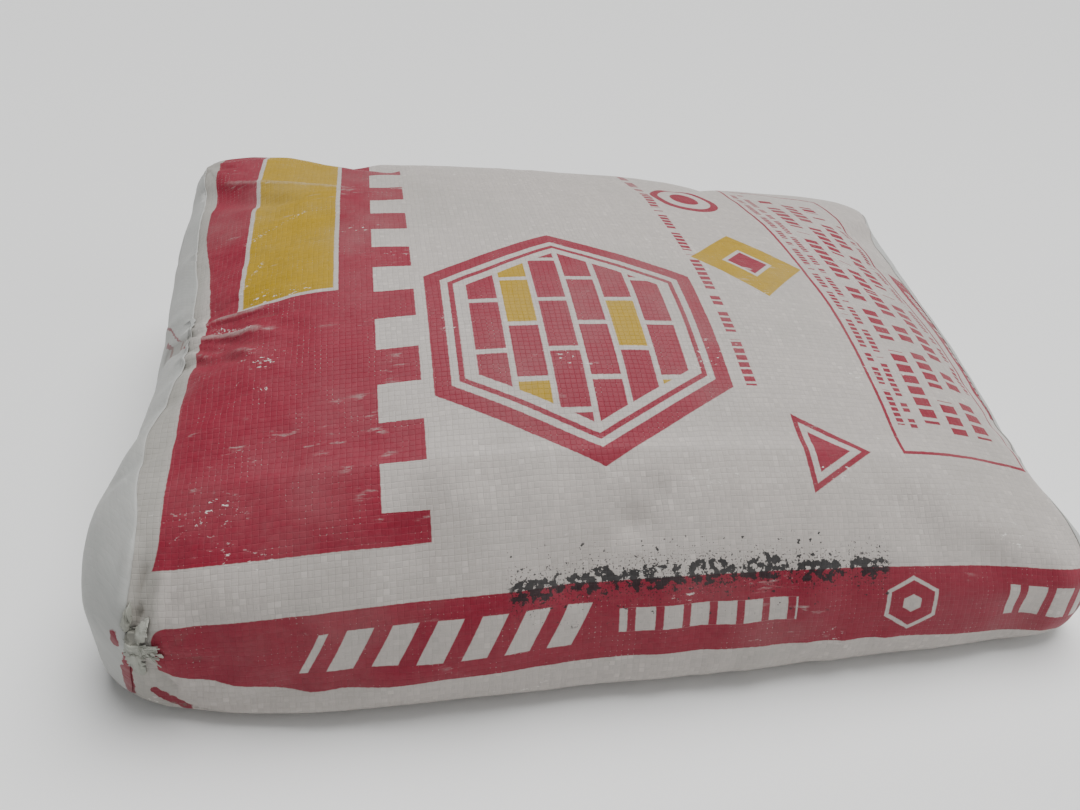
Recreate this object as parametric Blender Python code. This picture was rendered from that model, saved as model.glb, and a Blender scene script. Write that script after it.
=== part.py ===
"""A forty kilogram cement bag lying flat on the floor.

The sack is a tube of woven polypropylene whose two ends are folded square and closed by a welded
cover patch. The head end points to -X, the foot end to +X, the near side is -Y, and the floor is z = 0.
The origin is at the middle of the footprint. The sack was filled through a valve at the near corner of
its head end, and the pressed-shut valve sleeve still shows there.

Every surface starts as a box cage with corners at -1 and +1. Each cage point is carried onto a blown-up
box (a superellipsoid), which is then crowned on top, flattened on the floor, tapered towards the foot,
pinched at the head and pulled about at its corners.
"""
import bpy
import bmesh
import numpy as np

# Length, width and height of the filled bag, in metres, before its corners and ends are pulled about
BAG_LENGTH = 0.555
BAG_WIDTH = 0.440
BAG_HEIGHT = 0.150

# Heights of the top round its edge, which the bag's round shoulders then pull in
HEAD_NEAR_HEIGHT = 0.098
HEAD_MIDDLE_HEIGHT = 0.125
HEAD_FAR_HEIGHT = 0.148
NEAR_HEIGHT = 0.1245
FAR_HEIGHT = 0.1365
FOOT_NEAR_HEIGHT = 0.056
FOOT_MIDDLE_HEIGHT = 0.096
FOOT_FAR_HEIGHT = 0.106

# Height at which the sides stand out furthest, and how far the floor flattens the underside
SIDE_BULGE_HEIGHT = 0.0405
FLOOR_PRESS = 0.005

# How far the sides draw in at the ends, and how much of the length the ends' own shape takes
END_NARROWING = 0.006
END_REACH = 0.124

# The head end: pinched in where its cover is folded, and bulging out towards the near side
HEAD_PINCH = 0.0105
PINCH_FROM_MIDDLE = -0.044
PINCH_REACH = 0.092
PINCH_SHARE_AT_FLOOR = 0.35
HEAD_BULGE = 0.0125
BULGE_FROM_MIDDLE = -0.175
BULGE_REACH = 0.049

# The foot end: hollow in the middle, and slanting so that its far corner lies further out
FOOT_HOLLOW = 0.0135
FOOT_SLANT = 0.031

# The corners: ears at the foot, tucked in at the valve, and lifted at the far side of the head
CORNER_REACH = 0.110
FOOT_EAR = 0.004
VALVE_TUCK = 0.008
FAR_HEAD_LIFT = 0.0095

# Roundness of the blown-up box: 2 is an ellipse, large values are square
END_SQUARENESS = 10.5
CORNER_SQUARENESS = 15.5
NEAR_SQUARENESS = 2.1
FAR_SQUARENESS = 5.4
FLOOR_SQUARENESS = 7.0

# Sheet thicknesses, and the clearance that touching pieces keep
FABRIC_THICKNESS = 0.0005
PATCH_THICKNESS = 0.0005
SLEEVE_THICKNESS = 0.0010
CLEARANCE = 0.0004

# Cover patches welded over the two square ends, and how far above the floor they begin
HEAD_PATCH_WIDTH = 0.360
FOOT_PATCH_WIDTH = 0.360
PATCH_ABOVE_FLOOR = 0.010

# Valve sleeve: a flattened tube that leaves the sack at the near corner of the head end
SLEEVE_WIDTH = 0.038
SLEEVE_LENGTH = 0.070
SLEEVE_STANDOUT = 0.004
SLOT_GAPE = 0.0015
SLEEVE_FROM_HEAD = 0.021
SLEEVE_MIDDLE_HEIGHT = 0.045

# Panels of the cage along, across and up the bag, and how much they crowd towards its edges
PANELS_LONG = 22
PANELS_WIDE = 14
PANELS_HIGH = 8
EDGE_CROWDING = 0.4
CLOSEST_CUTS = 0.04
ROW_POINTS = 2001
SMALLEST = 1e-9
MERGE_DISTANCE = 1e-6


def superellipse(a, b, squareness):
    """Carry a point on the unit square's edge out of the centre onto |a|^n + |b|^n = 1."""
    reach = (np.abs(a) ** squareness + np.abs(b) ** squareness) ** (1.0 / squareness)
    reach = np.maximum(reach, SMALLEST)
    return a / reach, b / reach


def smooth_step(t):
    """Rise from 0 at t = 0 to 1 at t = 1 with level ends."""
    t = np.clip(t, 0.0, 1.0)
    return t * t * (3.0 - 2.0 * t)


def through_three(at, low, middle, high):
    """The parabola that takes three given values at -1, 0 and 1."""
    return (low * at * (at - 1.0) + high * at * (at + 1.0)) / 2.0 + middle * (1.0 - at ** 2.0)


def hump(distance, reach):
    """A bell curve of height 1 in the middle."""
    return np.exp(-(distance / reach) ** 2.0)


def top_height(along, across):
    """Height of the top: parabolas across the head end, the middle and the foot end, joined lengthways."""
    head = through_three(across, HEAD_NEAR_HEIGHT, HEAD_MIDDLE_HEIGHT, HEAD_FAR_HEIGHT)
    middle = through_three(across, NEAR_HEIGHT, BAG_HEIGHT, FAR_HEIGHT)
    foot = through_three(across, FOOT_NEAR_HEIGHT, FOOT_MIDDLE_HEIGHT, FOOT_FAR_HEIGHT)
    return through_three(along, head, middle, foot)


def end_shift(along, across, up):
    """How far a point near an end moves lengthways from the plain blown-up box."""
    from_end = (1.0 - np.abs(along)) * BAG_LENGTH / 2.0
    share = smooth_step(1.0 - from_end / END_REACH)
    from_middle = across * BAG_WIDTH / 2.0
    pinch_share = PINCH_SHARE_AT_FLOOR + (1.0 - PINCH_SHARE_AT_FLOOR) * np.clip(up, 0.0, 1.0)
    pinch = HEAD_PINCH * pinch_share * hump(from_middle - PINCH_FROM_MIDDLE, PINCH_REACH)
    bulge = HEAD_BULGE * hump(from_middle - BULGE_FROM_MIDDLE, BULGE_REACH)
    foot = FOOT_SLANT * across - FOOT_HOLLOW * (1.0 - across ** 2.0)
    return share * np.where(along < 0.0, pinch - bulge, foot)


def corner_share(along, across):
    """1 at the bag's four corners, falling to 0 at the corner reach."""
    from_end = (1.0 - np.abs(along)) * BAG_LENGTH / 2.0
    from_side = (1.0 - np.abs(across)) * BAG_WIDTH / 2.0
    return smooth_step(1.0 - from_end / CORNER_REACH) * smooth_step(1.0 - from_side / CORNER_REACH)


def place(cage):
    """Carry cage points (n, 3) onto the outside of the filled sack."""
    p, q, r = cage.T
    rim = np.maximum(np.maximum(np.abs(q), np.abs(r)), SMALLEST)
    end_roundness = END_SQUARENESS + (CORNER_SQUARENESS - END_SQUARENESS) * smooth_step(q ** 2.0)
    along, grow = superellipse(p, rim, end_roundness)
    shoulder = np.where(q < 0.0, NEAR_SQUARENESS, FAR_SQUARENESS)
    across, up = superellipse(q / rim, r / rim, np.where(r > 0.0, shoulder, FLOOR_SQUARENESS))
    across, up = across * grow, up * grow
    corner = corner_share(along, across)
    ear = corner * np.where(along > 0.0, FOOT_EAR, np.where(across < 0.0, -VALVE_TUCK, 0.0))
    lift = corner * np.where((along < 0.0) & (across > 0.0), FAR_HEAD_LIFT, 0.0)
    x = along * BAG_LENGTH / 2.0 + end_shift(along, across, up) + np.sign(along) * ear
    y = across * (BAG_WIDTH / 2.0 - END_NARROWING * np.abs(along) ** 3.0) + np.sign(across) * ear
    above = SIDE_BULGE_HEIGHT + (top_height(along, across) - SIDE_BULGE_HEIGHT + lift) * up
    below = SIDE_BULGE_HEIGHT + (SIDE_BULGE_HEIGHT + FLOOR_PRESS) * up
    z = np.where(up > 0.0, above, np.maximum(below, 0.0))
    return np.stack([x, y, z], axis=1)


def cage_value(wanted, axis, row):
    """Cage coordinate along a row of cage points at which the sack's x, y or z reaches the wanted size."""
    return float(np.interp(wanted, place(row)[:, axis], row[:, axis]))


def cage_row(axis, fixed):
    """A fine row of cage points along one axis, with the other two coordinates fixed."""
    row = np.tile(np.array(fixed, dtype=float), (ROW_POINTS, 1))
    row[:, axis] = np.linspace(-1.0, 1.0, ROW_POINTS)
    return row


def spaced_cuts(panels, exact=()):
    """Cuts between -1 and 1 that crowd towards both ends, and the exact cuts, which are always made."""
    even = np.linspace(-1.0, 1.0, panels + 1)[1:-1]
    crowded = even + EDGE_CROWDING * (np.sin(even * np.pi / 2.0) - even)
    return [c for c in crowded if all(abs(c - e) > CLOSEST_CUTS for e in exact)] + list(exact)


def sack_cage():
    """A closed box cage of four-sided panels, with exact cuts at the edges of the valve slot."""
    bm = bmesh.new()
    bmesh.ops.create_cube(bm, size=2.0)
    for axis, places in enumerate((LONG_CUTS, WIDE_CUTS, HIGH_CUTS)):
        normal = [0.0, 0.0, 0.0]
        normal[axis] = 1.0
        for cut in places:
            point = [0.0, 0.0, 0.0]
            point[axis] = cut
            parts = bm.verts[:] + bm.edges[:] + bm.faces[:]
            bmesh.ops.bisect_plane(bm, geom=parts, dist=MERGE_DISTANCE, plane_co=point, plane_no=normal)
    return bm


def blown_sack(offset):
    """The cage carried onto the sack, each point moved out along its normal by the offset."""
    bm = sack_cage()
    cage = np.array([v.co[:] for v in bm.verts])
    for vert, spot in zip(bm.verts, place(cage)):
        vert.co = spot
    bmesh.ops.triangulate(bm, faces=bm.faces[:], quad_method="SHORT_EDGE")
    bm.normal_update()
    moved = [vert.co + vert.normal * offset for vert in bm.verts]
    for vert, spot in zip(bm.verts, moved):
        vert.co = spot
    return bm, cage


def face_middles(bm, cage):
    """Cage coordinates of each face's middle, as an array (faces, 3)."""
    bm.verts.index_update()
    return np.array([cage[[v.index for v in face.verts]].mean(axis=0) for face in bm.faces])


def delete_faces(bm, doomed):
    """Remove the marked faces and what they leave loose."""
    faces = [face for face, out in zip(bm.faces[:], doomed) if out]
    bmesh.ops.delete(bm, geom=faces, context="FACES")


def material(name, colour, roughness):
    """A plain Principled material."""
    mat = bpy.data.materials.new(name)
    mat.use_nodes = True
    shader = mat.node_tree.nodes["Principled BSDF"]
    shader.inputs["Base Color"].default_value = (*colour, 1.0)
    shader.inputs["Roughness"].default_value = roughness
    shader.inputs["Metallic"].default_value = 0.0
    return mat


def add_object(name, bm, mat, smooth=True):
    """Turn a bmesh into a named object of its own mesh."""
    mesh = bpy.data.meshes.new(name)
    bm.to_mesh(mesh)
    bm.free()
    if smooth:
        mesh.shade_smooth()
    mesh.materials.append(mat)
    obj = bpy.data.objects.new(name, mesh)
    bpy.context.scene.collection.objects.link(obj)
    return obj


def add_thickness(obj, thickness, side):
    """Give an open sheet its thickness, inwards for side -1 and outwards for side 1."""
    wall = obj.modifiers.new("thickness", "SOLIDIFY")
    wall.thickness = thickness
    wall.offset = side
    wall.use_rim = True


def woven_sack(mat):
    """The sack's skin: one sheet all round, open only at the valve slot."""
    bm, cage = blown_sack(0.0)
    middle = face_middles(bm, cage)
    in_slot = (middle[:, 0] > SLOT_LONG[0]) & (middle[:, 0] < SLOT_LONG[1])
    in_slot &= (middle[:, 2] > SLOT_HIGH[0]) & (middle[:, 2] < SLOT_HIGH[1])
    in_slot &= np.isclose(middle[:, 1], -1.0)
    delete_faces(bm, in_slot)
    obj = add_object("woven_sack", bm, mat)
    add_thickness(obj, FABRIC_THICKNESS, -1.0)
    return obj


def block(name, centre, size, mat):
    """A plain box, which a sleeve is made of and pieces are cut with."""
    bm = bmesh.new()
    bmesh.ops.create_cube(bm, size=1.0)
    for vert in bm.verts:
        vert.co = np.array(centre) + np.array(vert.co[:]) * np.array(size)
    return add_object(name, bm, mat, smooth=False)


def cut_with(obj, cutter, operation):
    """Cut a piece with a hidden cutter."""
    cutter.hide_render = True
    cutter.display_type = "WIRE"
    cut = obj.modifiers.new(cutter.name, "BOOLEAN")
    cut.operation = operation
    cut.solver = "EXACT"
    cut.object = cutter


def cover_patch(name, end, width, mat):
    """A patch on the square end, -1 for the head or 1 for the foot, from above the floor to the fold."""
    bm, cage = blown_sack(CLEARANCE)
    middle = face_middles(bm, cage)
    delete_faces(bm, ~np.isclose(middle[:, 0], end))
    obj = add_object(name, bm, mat)
    add_thickness(obj, PATCH_THICKNESS, 1.0)
    centre = (end * BAG_LENGTH / 2.0, 0.0, PATCH_ABOVE_FLOOR + BAG_HEIGHT / 2.0)
    cut_with(obj, block(name + "_outline", centre, (BAG_LENGTH / 2.0, width, BAG_HEIGHT), mat), "INTERSECT")
    return obj


def sleeve_block(name, mat, margin):
    """The flattened valve sleeve with a margin all round for its pocket, leaning as the sack's side leans."""
    size = np.array([SLEEVE_THICKNESS, SLEEVE_LENGTH, SLEEVE_WIDTH]) + 2.0 * margin
    centre = (SLOT_MIDDLE[0], SLOT_MIDDLE[1] - SLEEVE_STANDOUT + SLEEVE_LENGTH / 2.0, SLEEVE_MIDDLE_HEIGHT)
    obj = block(name, centre, size, mat)
    for vert in obj.data.vertices:
        above_middle = vert.co.z - SLEEVE_MIDDLE_HEIGHT
        vert.co.x += SLOT_LEAN[0] * above_middle
        vert.co.y += SLOT_LEAN[1] * above_middle
    return obj


def centre_footprint():
    """Move every object by one and the same amount, so that the origin is under the bag's middle."""
    bpy.context.view_layer.update()
    graph = bpy.context.evaluated_depsgraph_get()
    shown = [obj.evaluated_get(graph) for obj in bpy.data.objects if not obj.hide_render]
    corners = np.array([corner[:] for obj in shown for corner in obj.bound_box])
    middle = (corners.min(axis=0) + corners.max(axis=0)) / 2.0
    for obj in bpy.data.objects:
        obj.location = (-middle[0], -middle[1], 0.0)


def cement_fill(mat):
    """The cement fills the sack but for the pocket that the valve sleeve lies in."""
    bm, _ = blown_sack(-(FABRIC_THICKNESS + CLEARANCE))
    obj = add_object("cement_fill", bm, mat)
    cut_with(obj, sleeve_block("valve_pocket", mat, CLEARANCE), "DIFFERENCE")
    return obj


# Places that follow from the sizes above
SLOT_WIDTH = SLEEVE_THICKNESS + 2.0 * (FABRIC_THICKNESS + SLOT_GAPE)
SLOT_HEIGHT = SLEEVE_WIDTH + 2.0 * (FABRIC_THICKNESS + CLEARANCE)
ALONG_NEAR_SIDE = cage_row(0, (0.0, -1.0, 0.0))
SLOT_X = SLEEVE_FROM_HEAD - BAG_LENGTH / 2.0
SLOT_LONG = [cage_value(SLOT_X + s * SLOT_WIDTH / 2.0, 0, ALONG_NEAR_SIDE) for s in (-1, 1)]
UP_AT_SLOT = cage_row(2, (sum(SLOT_LONG) / 2.0, -1.0, 0.0))
SLOT_HIGH = [cage_value(SLEEVE_MIDDLE_HEIGHT + s * SLOT_HEIGHT / 2.0, 2, UP_AT_SLOT) for s in (-1, 1)]
SLOT_CURVE = place(np.array([[sum(SLOT_LONG) / 2.0, -1.0, up] for up in np.linspace(*SLOT_HIGH, 9)]))
SLOT_LEAN, SLOT_AT_FLOOR = np.polyfit(SLOT_CURVE[:, 2], SLOT_CURVE[:, :2], 1)
SLOT_MIDDLE = SLOT_AT_FLOOR + SLOT_LEAN * SLEEVE_MIDDLE_HEIGHT
LONG_CUTS = spaced_cuts(PANELS_LONG, SLOT_LONG)
WIDE_CUTS = spaced_cuts(PANELS_WIDE)
HIGH_CUTS = spaced_cuts(PANELS_HIGH, SLOT_HIGH)

for old in list(bpy.data.objects):
    bpy.data.objects.remove(old, do_unlink=True)

woven = material("woven_polypropylene", (0.60, 0.56, 0.53), 0.55)
patch = material("cover_patch_film", (0.70, 0.69, 0.66), 0.45)
sleeve = material("valve_film", (0.62, 0.60, 0.57), 0.50)
cement = material("grey_cement", (0.42, 0.41, 0.40), 0.95)

woven_sack(woven)
cement_fill(cement)
cover_patch("head_cover_patch", -1, HEAD_PATCH_WIDTH, patch)
cover_patch("foot_cover_patch", 1, FOOT_PATCH_WIDTH, patch)
sleeve_block("valve_sleeve", sleeve, 0.0)
centre_footprint()
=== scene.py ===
# %% [markdown]
# # A filled cement bag on a studio floor
# The bag is a tube of woven plastic tape, folded square at both ends, closed with a welded cover patch
# and filled with forty kilograms of cement through a valve in one corner. It lies flat, so its own weight
# shapes it: a crowned top, bulging sides and a flat underside.
# The solid model of the bag is loaded first. Every piece made here takes its place and size from it.

import bpy
import numpy as np
from mathutils import Matrix, Vector


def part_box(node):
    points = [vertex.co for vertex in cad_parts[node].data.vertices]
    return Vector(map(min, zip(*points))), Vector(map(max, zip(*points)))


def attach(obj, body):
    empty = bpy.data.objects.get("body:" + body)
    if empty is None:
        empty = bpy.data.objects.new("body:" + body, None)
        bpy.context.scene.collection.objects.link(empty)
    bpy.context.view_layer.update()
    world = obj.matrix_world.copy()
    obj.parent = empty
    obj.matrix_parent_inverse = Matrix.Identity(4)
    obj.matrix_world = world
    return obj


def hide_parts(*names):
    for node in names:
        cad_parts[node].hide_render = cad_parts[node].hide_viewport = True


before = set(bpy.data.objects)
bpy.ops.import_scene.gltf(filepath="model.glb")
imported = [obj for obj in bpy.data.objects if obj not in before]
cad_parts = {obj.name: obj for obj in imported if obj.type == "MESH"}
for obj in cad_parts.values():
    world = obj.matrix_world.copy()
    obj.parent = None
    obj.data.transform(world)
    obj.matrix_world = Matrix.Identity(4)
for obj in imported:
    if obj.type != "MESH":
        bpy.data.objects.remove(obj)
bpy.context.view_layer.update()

SACK_LOW, SACK_HIGH = (np.array(corner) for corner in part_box("woven_sack"))
print("solid bag, mm:", ((SACK_HIGH - SACK_LOW) * 1000).round(1))

# %% [markdown]
# ## The camera
# A picture is matched by standing the camera where the photographer stood. It could be moved about by
# eye, but the floor's straight lines and the bag's outline fix it exactly, so its place and its three
# angles are stated as numbers: turned to the right, tipped down and rolled a little.

# %% The camera
PICTURE_WIDTH = 1080.0
FOCAL_PIXELS = 829.0
SENSOR_WIDTH = 36.0
CAMERA_PLACE = (-0.1529, -0.4702, 0.356)
YAW, PITCH, ROLL = np.radians([13.20, 34.11, 5.16])

ahead = np.array([np.sin(YAW) * np.cos(PITCH), np.cos(YAW) * np.cos(PITCH), -np.sin(PITCH)])
level = np.array([np.cos(YAW), -np.sin(YAW), 0.0])
above = np.cross(level, ahead)
right = np.cos(ROLL) * level + np.sin(ROLL) * above
upward = np.cos(ROLL) * above - np.sin(ROLL) * level
camera = bpy.data.objects.new("camera", bpy.data.cameras.new("camera"))
camera.data.sensor_fit = "HORIZONTAL"
camera.data.sensor_width = SENSOR_WIDTH
camera.data.lens = FOCAL_PIXELS / PICTURE_WIDTH * SENSOR_WIDTH
turned = Matrix(np.column_stack([right, upward, -ahead]).tolist()).to_4x4()
camera.matrix_world = Matrix.Translation(CAMERA_PLACE) @ turned
bpy.context.scene.collection.objects.link(camera)
bpy.context.scene.camera = camera
print("camera lens, mm:", round(camera.data.lens, 2))

# %% [markdown]
# ## Light and floor
# The photograph was taken indoors in soft daylight. Most of it comes over the far side and lights the top,
# some comes in from the left on the head, and the near side gets only what the room throws back. The main
# light is a sun with a very wide disc, because that lights the floor evenly as far as one can see, where a
# lamp close by would leave it dark in the distance. The room's own pale light comes from the world. It is
# dim, but where the camera looks past the floor's end it sees the world as pale as the floor is.


# %% Light and floor
def softbox(name, place, target, size, watts):
    """A square lamp at a place, turned so that its face looks at the target."""
    lamp = bpy.data.objects.new(name, bpy.data.lights.new(name, "AREA"))
    lamp.data.shape = "SQUARE"
    lamp.data.size = size
    lamp.data.energy = watts
    way = Vector(target) - Vector(place)
    lamp.matrix_world = Matrix.Translation(place) @ way.to_track_quat("-Z", "Y").to_matrix().to_4x4()
    bpy.context.scene.collection.objects.link(lamp)


def daylight(name, toward, disc_degrees, strength):
    """A sun that shines in a direction from a disc so wide that its shadows are soft."""
    lamp = bpy.data.objects.new(name, bpy.data.lights.new(name, "SUN"))
    lamp.data.angle = np.radians(disc_degrees)
    lamp.data.energy = strength
    lamp.matrix_world = Vector(toward).to_track_quat("-Z", "Y").to_matrix().to_4x4()
    bpy.context.scene.collection.objects.link(lamp)


def surface(name, corners, faces):
    """A mesh object made from an array of corners (n, 3) and an array of four-sided faces (m, 4)."""
    mesh = bpy.data.meshes.new(name)
    mesh.from_pydata(corners.tolist(), [], faces.tolist())
    mesh.shade_smooth()
    made = bpy.data.objects.new(name, mesh)
    bpy.context.scene.collection.objects.link(made)
    return made


BAG_MIDDLE = (0.0, 0.0, 0.07)
daylight("window", (-0.48, -0.70, -2.0), 50.0, 3.9)
softbox("doorway", (-1.7, 0.0, 0.8), BAG_MIDDLE, 1.2, 1.5)
softbox("bounce", (1.7, -1.1, 1.0), BAG_MIDDLE, 1.6, 12.0)

ROOM_COLOUR, ROOM_LIGHT, ROOM_SEEN = (0.80, 0.82, 0.84, 1.0), 0.25, 1.10
world = bpy.data.worlds.new("room")
world.use_nodes = True
room = world.node_tree.nodes["Background"].inputs
room["Color"].default_value = ROOM_COLOUR
is_seen = world.node_tree.nodes.new("ShaderNodeLightPath").outputs["Is Camera Ray"]
strength = world.node_tree.nodes.new("ShaderNodeMapRange")
strength.inputs["To Min"].default_value = ROOM_LIGHT
strength.inputs["To Max"].default_value = ROOM_SEEN
world.node_tree.links.new(is_seen, strength.inputs["Value"])
world.node_tree.links.new(strength.outputs[0], room["Strength"])
bpy.context.scene.world = world

FLOOR_HALF = 60.0
FLOOR_CORNERS = np.array([(-1, -1, 0), (1, -1, 0), (1, 1, 0), (-1, 1, 0)]) * FLOOR_HALF
floor = surface("floor", FLOOR_CORNERS, np.array([[0, 1, 2, 3]]))

# %% [markdown]
# ## The shape of a filled sack
# A sack could be modelled by pulling at a box by hand. Here its shape is a formula instead, the same one
# as in the solid model, because every sheet that lies on the bag can then be worked out from it. A box
# cage has coordinates p along, q across and r up, each from -1 to 1. The formula carries the cage onto a
# blown-up box (a superellipsoid), crowned on top and pressed flat by the floor.

# %% Sizes of the filled bag, in metres
BAG_LENGTH, BAG_WIDTH = 0.555, 0.440
HEAD_HEIGHTS = (0.098, 0.125, 0.148)
MIDDLE_HEIGHTS = (0.1245, 0.150, 0.1365)
FOOT_HEIGHTS = (0.056, 0.096, 0.106)
SIDE_BULGE_HEIGHT, FLOOR_PRESS = 0.0405, 0.005
END_NARROWING, END_REACH = 0.006, 0.124
HEAD_PINCH, PINCH_FROM_MIDDLE, PINCH_REACH = 0.0105, -0.044, 0.092
PINCH_SHARE_AT_FLOOR = 0.35
HEAD_BULGE, BULGE_FROM_MIDDLE, BULGE_REACH = 0.0125, -0.175, 0.049
FOOT_HOLLOW, FOOT_SLANT = 0.0135, 0.031
CORNER_REACH, FOOT_EAR, VALVE_TUCK, FAR_HEAD_LIFT = 0.110, 0.004, 0.008, 0.0095
END_SQUARENESS, CORNER_SQUARENESS = 10.5, 15.5
NEAR_SQUARENESS, FAR_SQUARENESS, FLOOR_SQUARENESS = 2.1, 5.4, 7.0
SMALLEST = 1e-9


def superellipse(a, b, squareness):
    """Carry a point on the unit square's edge out of the centre onto |a|^n + |b|^n = 1."""
    reach = (np.abs(a) ** squareness + np.abs(b) ** squareness) ** (1.0 / squareness)
    reach = np.maximum(reach, SMALLEST)
    return a / reach, b / reach


def smooth_step(t):
    """Rise from 0 at t = 0 to 1 at t = 1 with level ends."""
    t = np.clip(t, 0.0, 1.0)
    return t * t * (3.0 - 2.0 * t)


def through_three(at, low, middle, high):
    """The parabola that takes three given values at -1, 0 and 1."""
    return (low * at * (at - 1.0) + high * at * (at + 1.0)) / 2.0 + middle * (1.0 - at ** 2.0)


def hump(distance, reach):
    """A bell curve of height 1 in the middle."""
    return np.exp(-(distance / reach) ** 2.0)


# %% [markdown]
# The ends have a shape of their own: the head is pinched where its cover was folded, the foot slants, and
# the corners are pulled out or tucked in. Each of these fades away from the end or from the corner.


# %% From the cage to the sack
def top_height(along, across):
    """Height of the top: parabolas across the head end, the middle and the foot end, joined lengthways."""
    stations = (HEAD_HEIGHTS, MIDDLE_HEIGHTS, FOOT_HEIGHTS)
    return through_three(along, *(through_three(across, *heights) for heights in stations))


def end_shift(along, across, up):
    """How far a point near an end moves lengthways from the plain blown-up box."""
    from_end = (1.0 - np.abs(along)) * BAG_LENGTH / 2.0
    share = smooth_step(1.0 - from_end / END_REACH)
    from_middle = across * BAG_WIDTH / 2.0
    pinch_share = PINCH_SHARE_AT_FLOOR + (1.0 - PINCH_SHARE_AT_FLOOR) * np.clip(up, 0.0, 1.0)
    pinch = HEAD_PINCH * pinch_share * hump(from_middle - PINCH_FROM_MIDDLE, PINCH_REACH)
    bulge = HEAD_BULGE * hump(from_middle - BULGE_FROM_MIDDLE, BULGE_REACH)
    foot = FOOT_SLANT * across - FOOT_HOLLOW * (1.0 - across ** 2.0)
    return share * np.where(along < 0.0, pinch - bulge, foot)


def corner_share(along, across):
    """1 at the bag's four corners, falling to 0 at the corner reach."""
    from_end = (1.0 - np.abs(along)) * BAG_LENGTH / 2.0
    from_side = (1.0 - np.abs(across)) * BAG_WIDTH / 2.0
    return smooth_step(1.0 - from_end / CORNER_REACH) * smooth_step(1.0 - from_side / CORNER_REACH)


def formula(cage):
    """Carry cage points (..., 3) onto the blown-up box, crown it, press it flat and shape its ends."""
    p, q, r = np.moveaxis(cage, -1, 0)
    rim = np.maximum(np.maximum(np.abs(q), np.abs(r)), SMALLEST)
    end_roundness = END_SQUARENESS + (CORNER_SQUARENESS - END_SQUARENESS) * smooth_step(q ** 2.0)
    along, grow = superellipse(p, rim, end_roundness)
    shoulder = np.where(q < 0.0, NEAR_SQUARENESS, FAR_SQUARENESS)
    across, up = superellipse(q / rim, r / rim, np.where(r > 0.0, shoulder, FLOOR_SQUARENESS))
    across, up = across * grow, up * grow
    corner = corner_share(along, across)
    ear = corner * np.where(along > 0.0, FOOT_EAR, np.where(across < 0.0, -VALVE_TUCK, 0.0))
    lift = corner * np.where((along < 0.0) & (across > 0.0), FAR_HEAD_LIFT, 0.0)
    x = along * BAG_LENGTH / 2.0 + end_shift(along, across, up) + np.sign(along) * ear
    y = across * (BAG_WIDTH / 2.0 - END_NARROWING * np.abs(along) ** 3.0) + np.sign(across) * ear
    above_bulge = SIDE_BULGE_HEIGHT + (top_height(along, across) - SIDE_BULGE_HEIGHT + lift) * up
    below_bulge = SIDE_BULGE_HEIGHT + (SIDE_BULGE_HEIGHT + FLOOR_PRESS) * up
    z = np.where(up > 0.0, above_bulge, np.maximum(below_bulge, 0.0))
    return np.stack([x, y, z], axis=-1)


# %% [markdown]
# The sheet is cut into a grid. Rows run along the bag, closer together at the head where the folds are,
# and columns run once round it from the middle of the underside. The two square ends are grids as well.
# Points that the grids share are found by their cage coordinates and merged, which closes the skin.

# %% The skin's grids
CELLS_LONG, CELLS_WIDE, CELLS_HIGH = 74, 100, 26
EDGE_CROWDING, HEAD_CROWDING = 0.25, 0.25
CAGE_DIGITS = 6


def cuts(cells, head_crowding=0.0):
    """Cuts from -1 to 1 that crowd towards both ends, and towards -1 if the head crowding is above 0."""
    even = np.linspace(-1.0, 1.0, cells + 1)
    crowded = even + EDGE_CROWDING * (np.sin(even * np.pi / 2.0) - even)
    return crowded - head_crowding * (1.0 - crowded ** 2.0)


def once_round(wide, high):
    """Cage coordinates q and r once round the tube, by the near side, the top and the far side."""
    half = len(wide) // 2
    side = np.ones(len(high) - 2)
    q = np.concatenate([wide[half::-1], -side, wide, side, wide[:half - 1:-1]])
    under = -np.ones(half + 1)
    r = np.concatenate([under, high[1:-1], np.ones(len(wide)), high[-2:0:-1], under])
    return q, r


def cell_faces(rows, columns, first=0, flip=False):
    """Four corner numbers of each cell of a grid whose points are numbered row by row."""
    number = first + np.arange(rows * columns).reshape(rows, columns)
    corners = [number[:-1, :-1], number[1:, :-1], number[1:, 1:], number[:-1, 1:]]
    return np.stack(corners[::-1] if flip else corners, axis=-1).reshape(-1, 4)


def grid(*parts):
    """Points (..., 3) from three parts, each a number or an array that is spread over the whole grid."""
    return np.stack(np.broadcast_arrays(*parts), axis=-1)


def merge(grids, flips):
    """Grids of cage points made one: points without doubles, the number of each corner, and the faces."""
    firsts = np.cumsum([0] + [cage[..., 0].size for cage in grids])
    faces = [cell_faces(*cage.shape[:2], first, flip) for cage, first, flip in zip(grids, firsts, flips)]
    every = np.concatenate([cage.reshape(-1, 3) for cage in grids]).round(CAGE_DIGITS)
    points, number = np.unique(every, axis=0, return_inverse=True)
    return points, number.reshape(-1), np.concatenate(faces)


LONG, WIDE, HIGH = cuts(CELLS_LONG, HEAD_CROWDING), cuts(CELLS_WIDE), cuts(CELLS_HIGH)
ROUND_Q, ROUND_R = once_round(WIDE, HIGH)
tube_cage = grid(LONG[:, None], ROUND_Q[None], ROUND_R[None])
end_cages = [grid(end, WIDE[:, None], HIGH[None]) for end in (-1.0, 1.0)]
raw_points = np.concatenate([formula(cage).reshape(-1, 3) for cage in [tube_cage] + end_cages])
raw_low, raw_high = raw_points.min(axis=0), raw_points.max(axis=0)
TO_FRAME = (SACK_LOW + SACK_HIGH - raw_low - raw_high) / 2.0 * (1.0, 1.0, 0.0)
print("formula's bag, mm:", ((raw_high - raw_low) * 1000).round(1), "moved by", (TO_FRAME * 1000).round(2))


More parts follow.
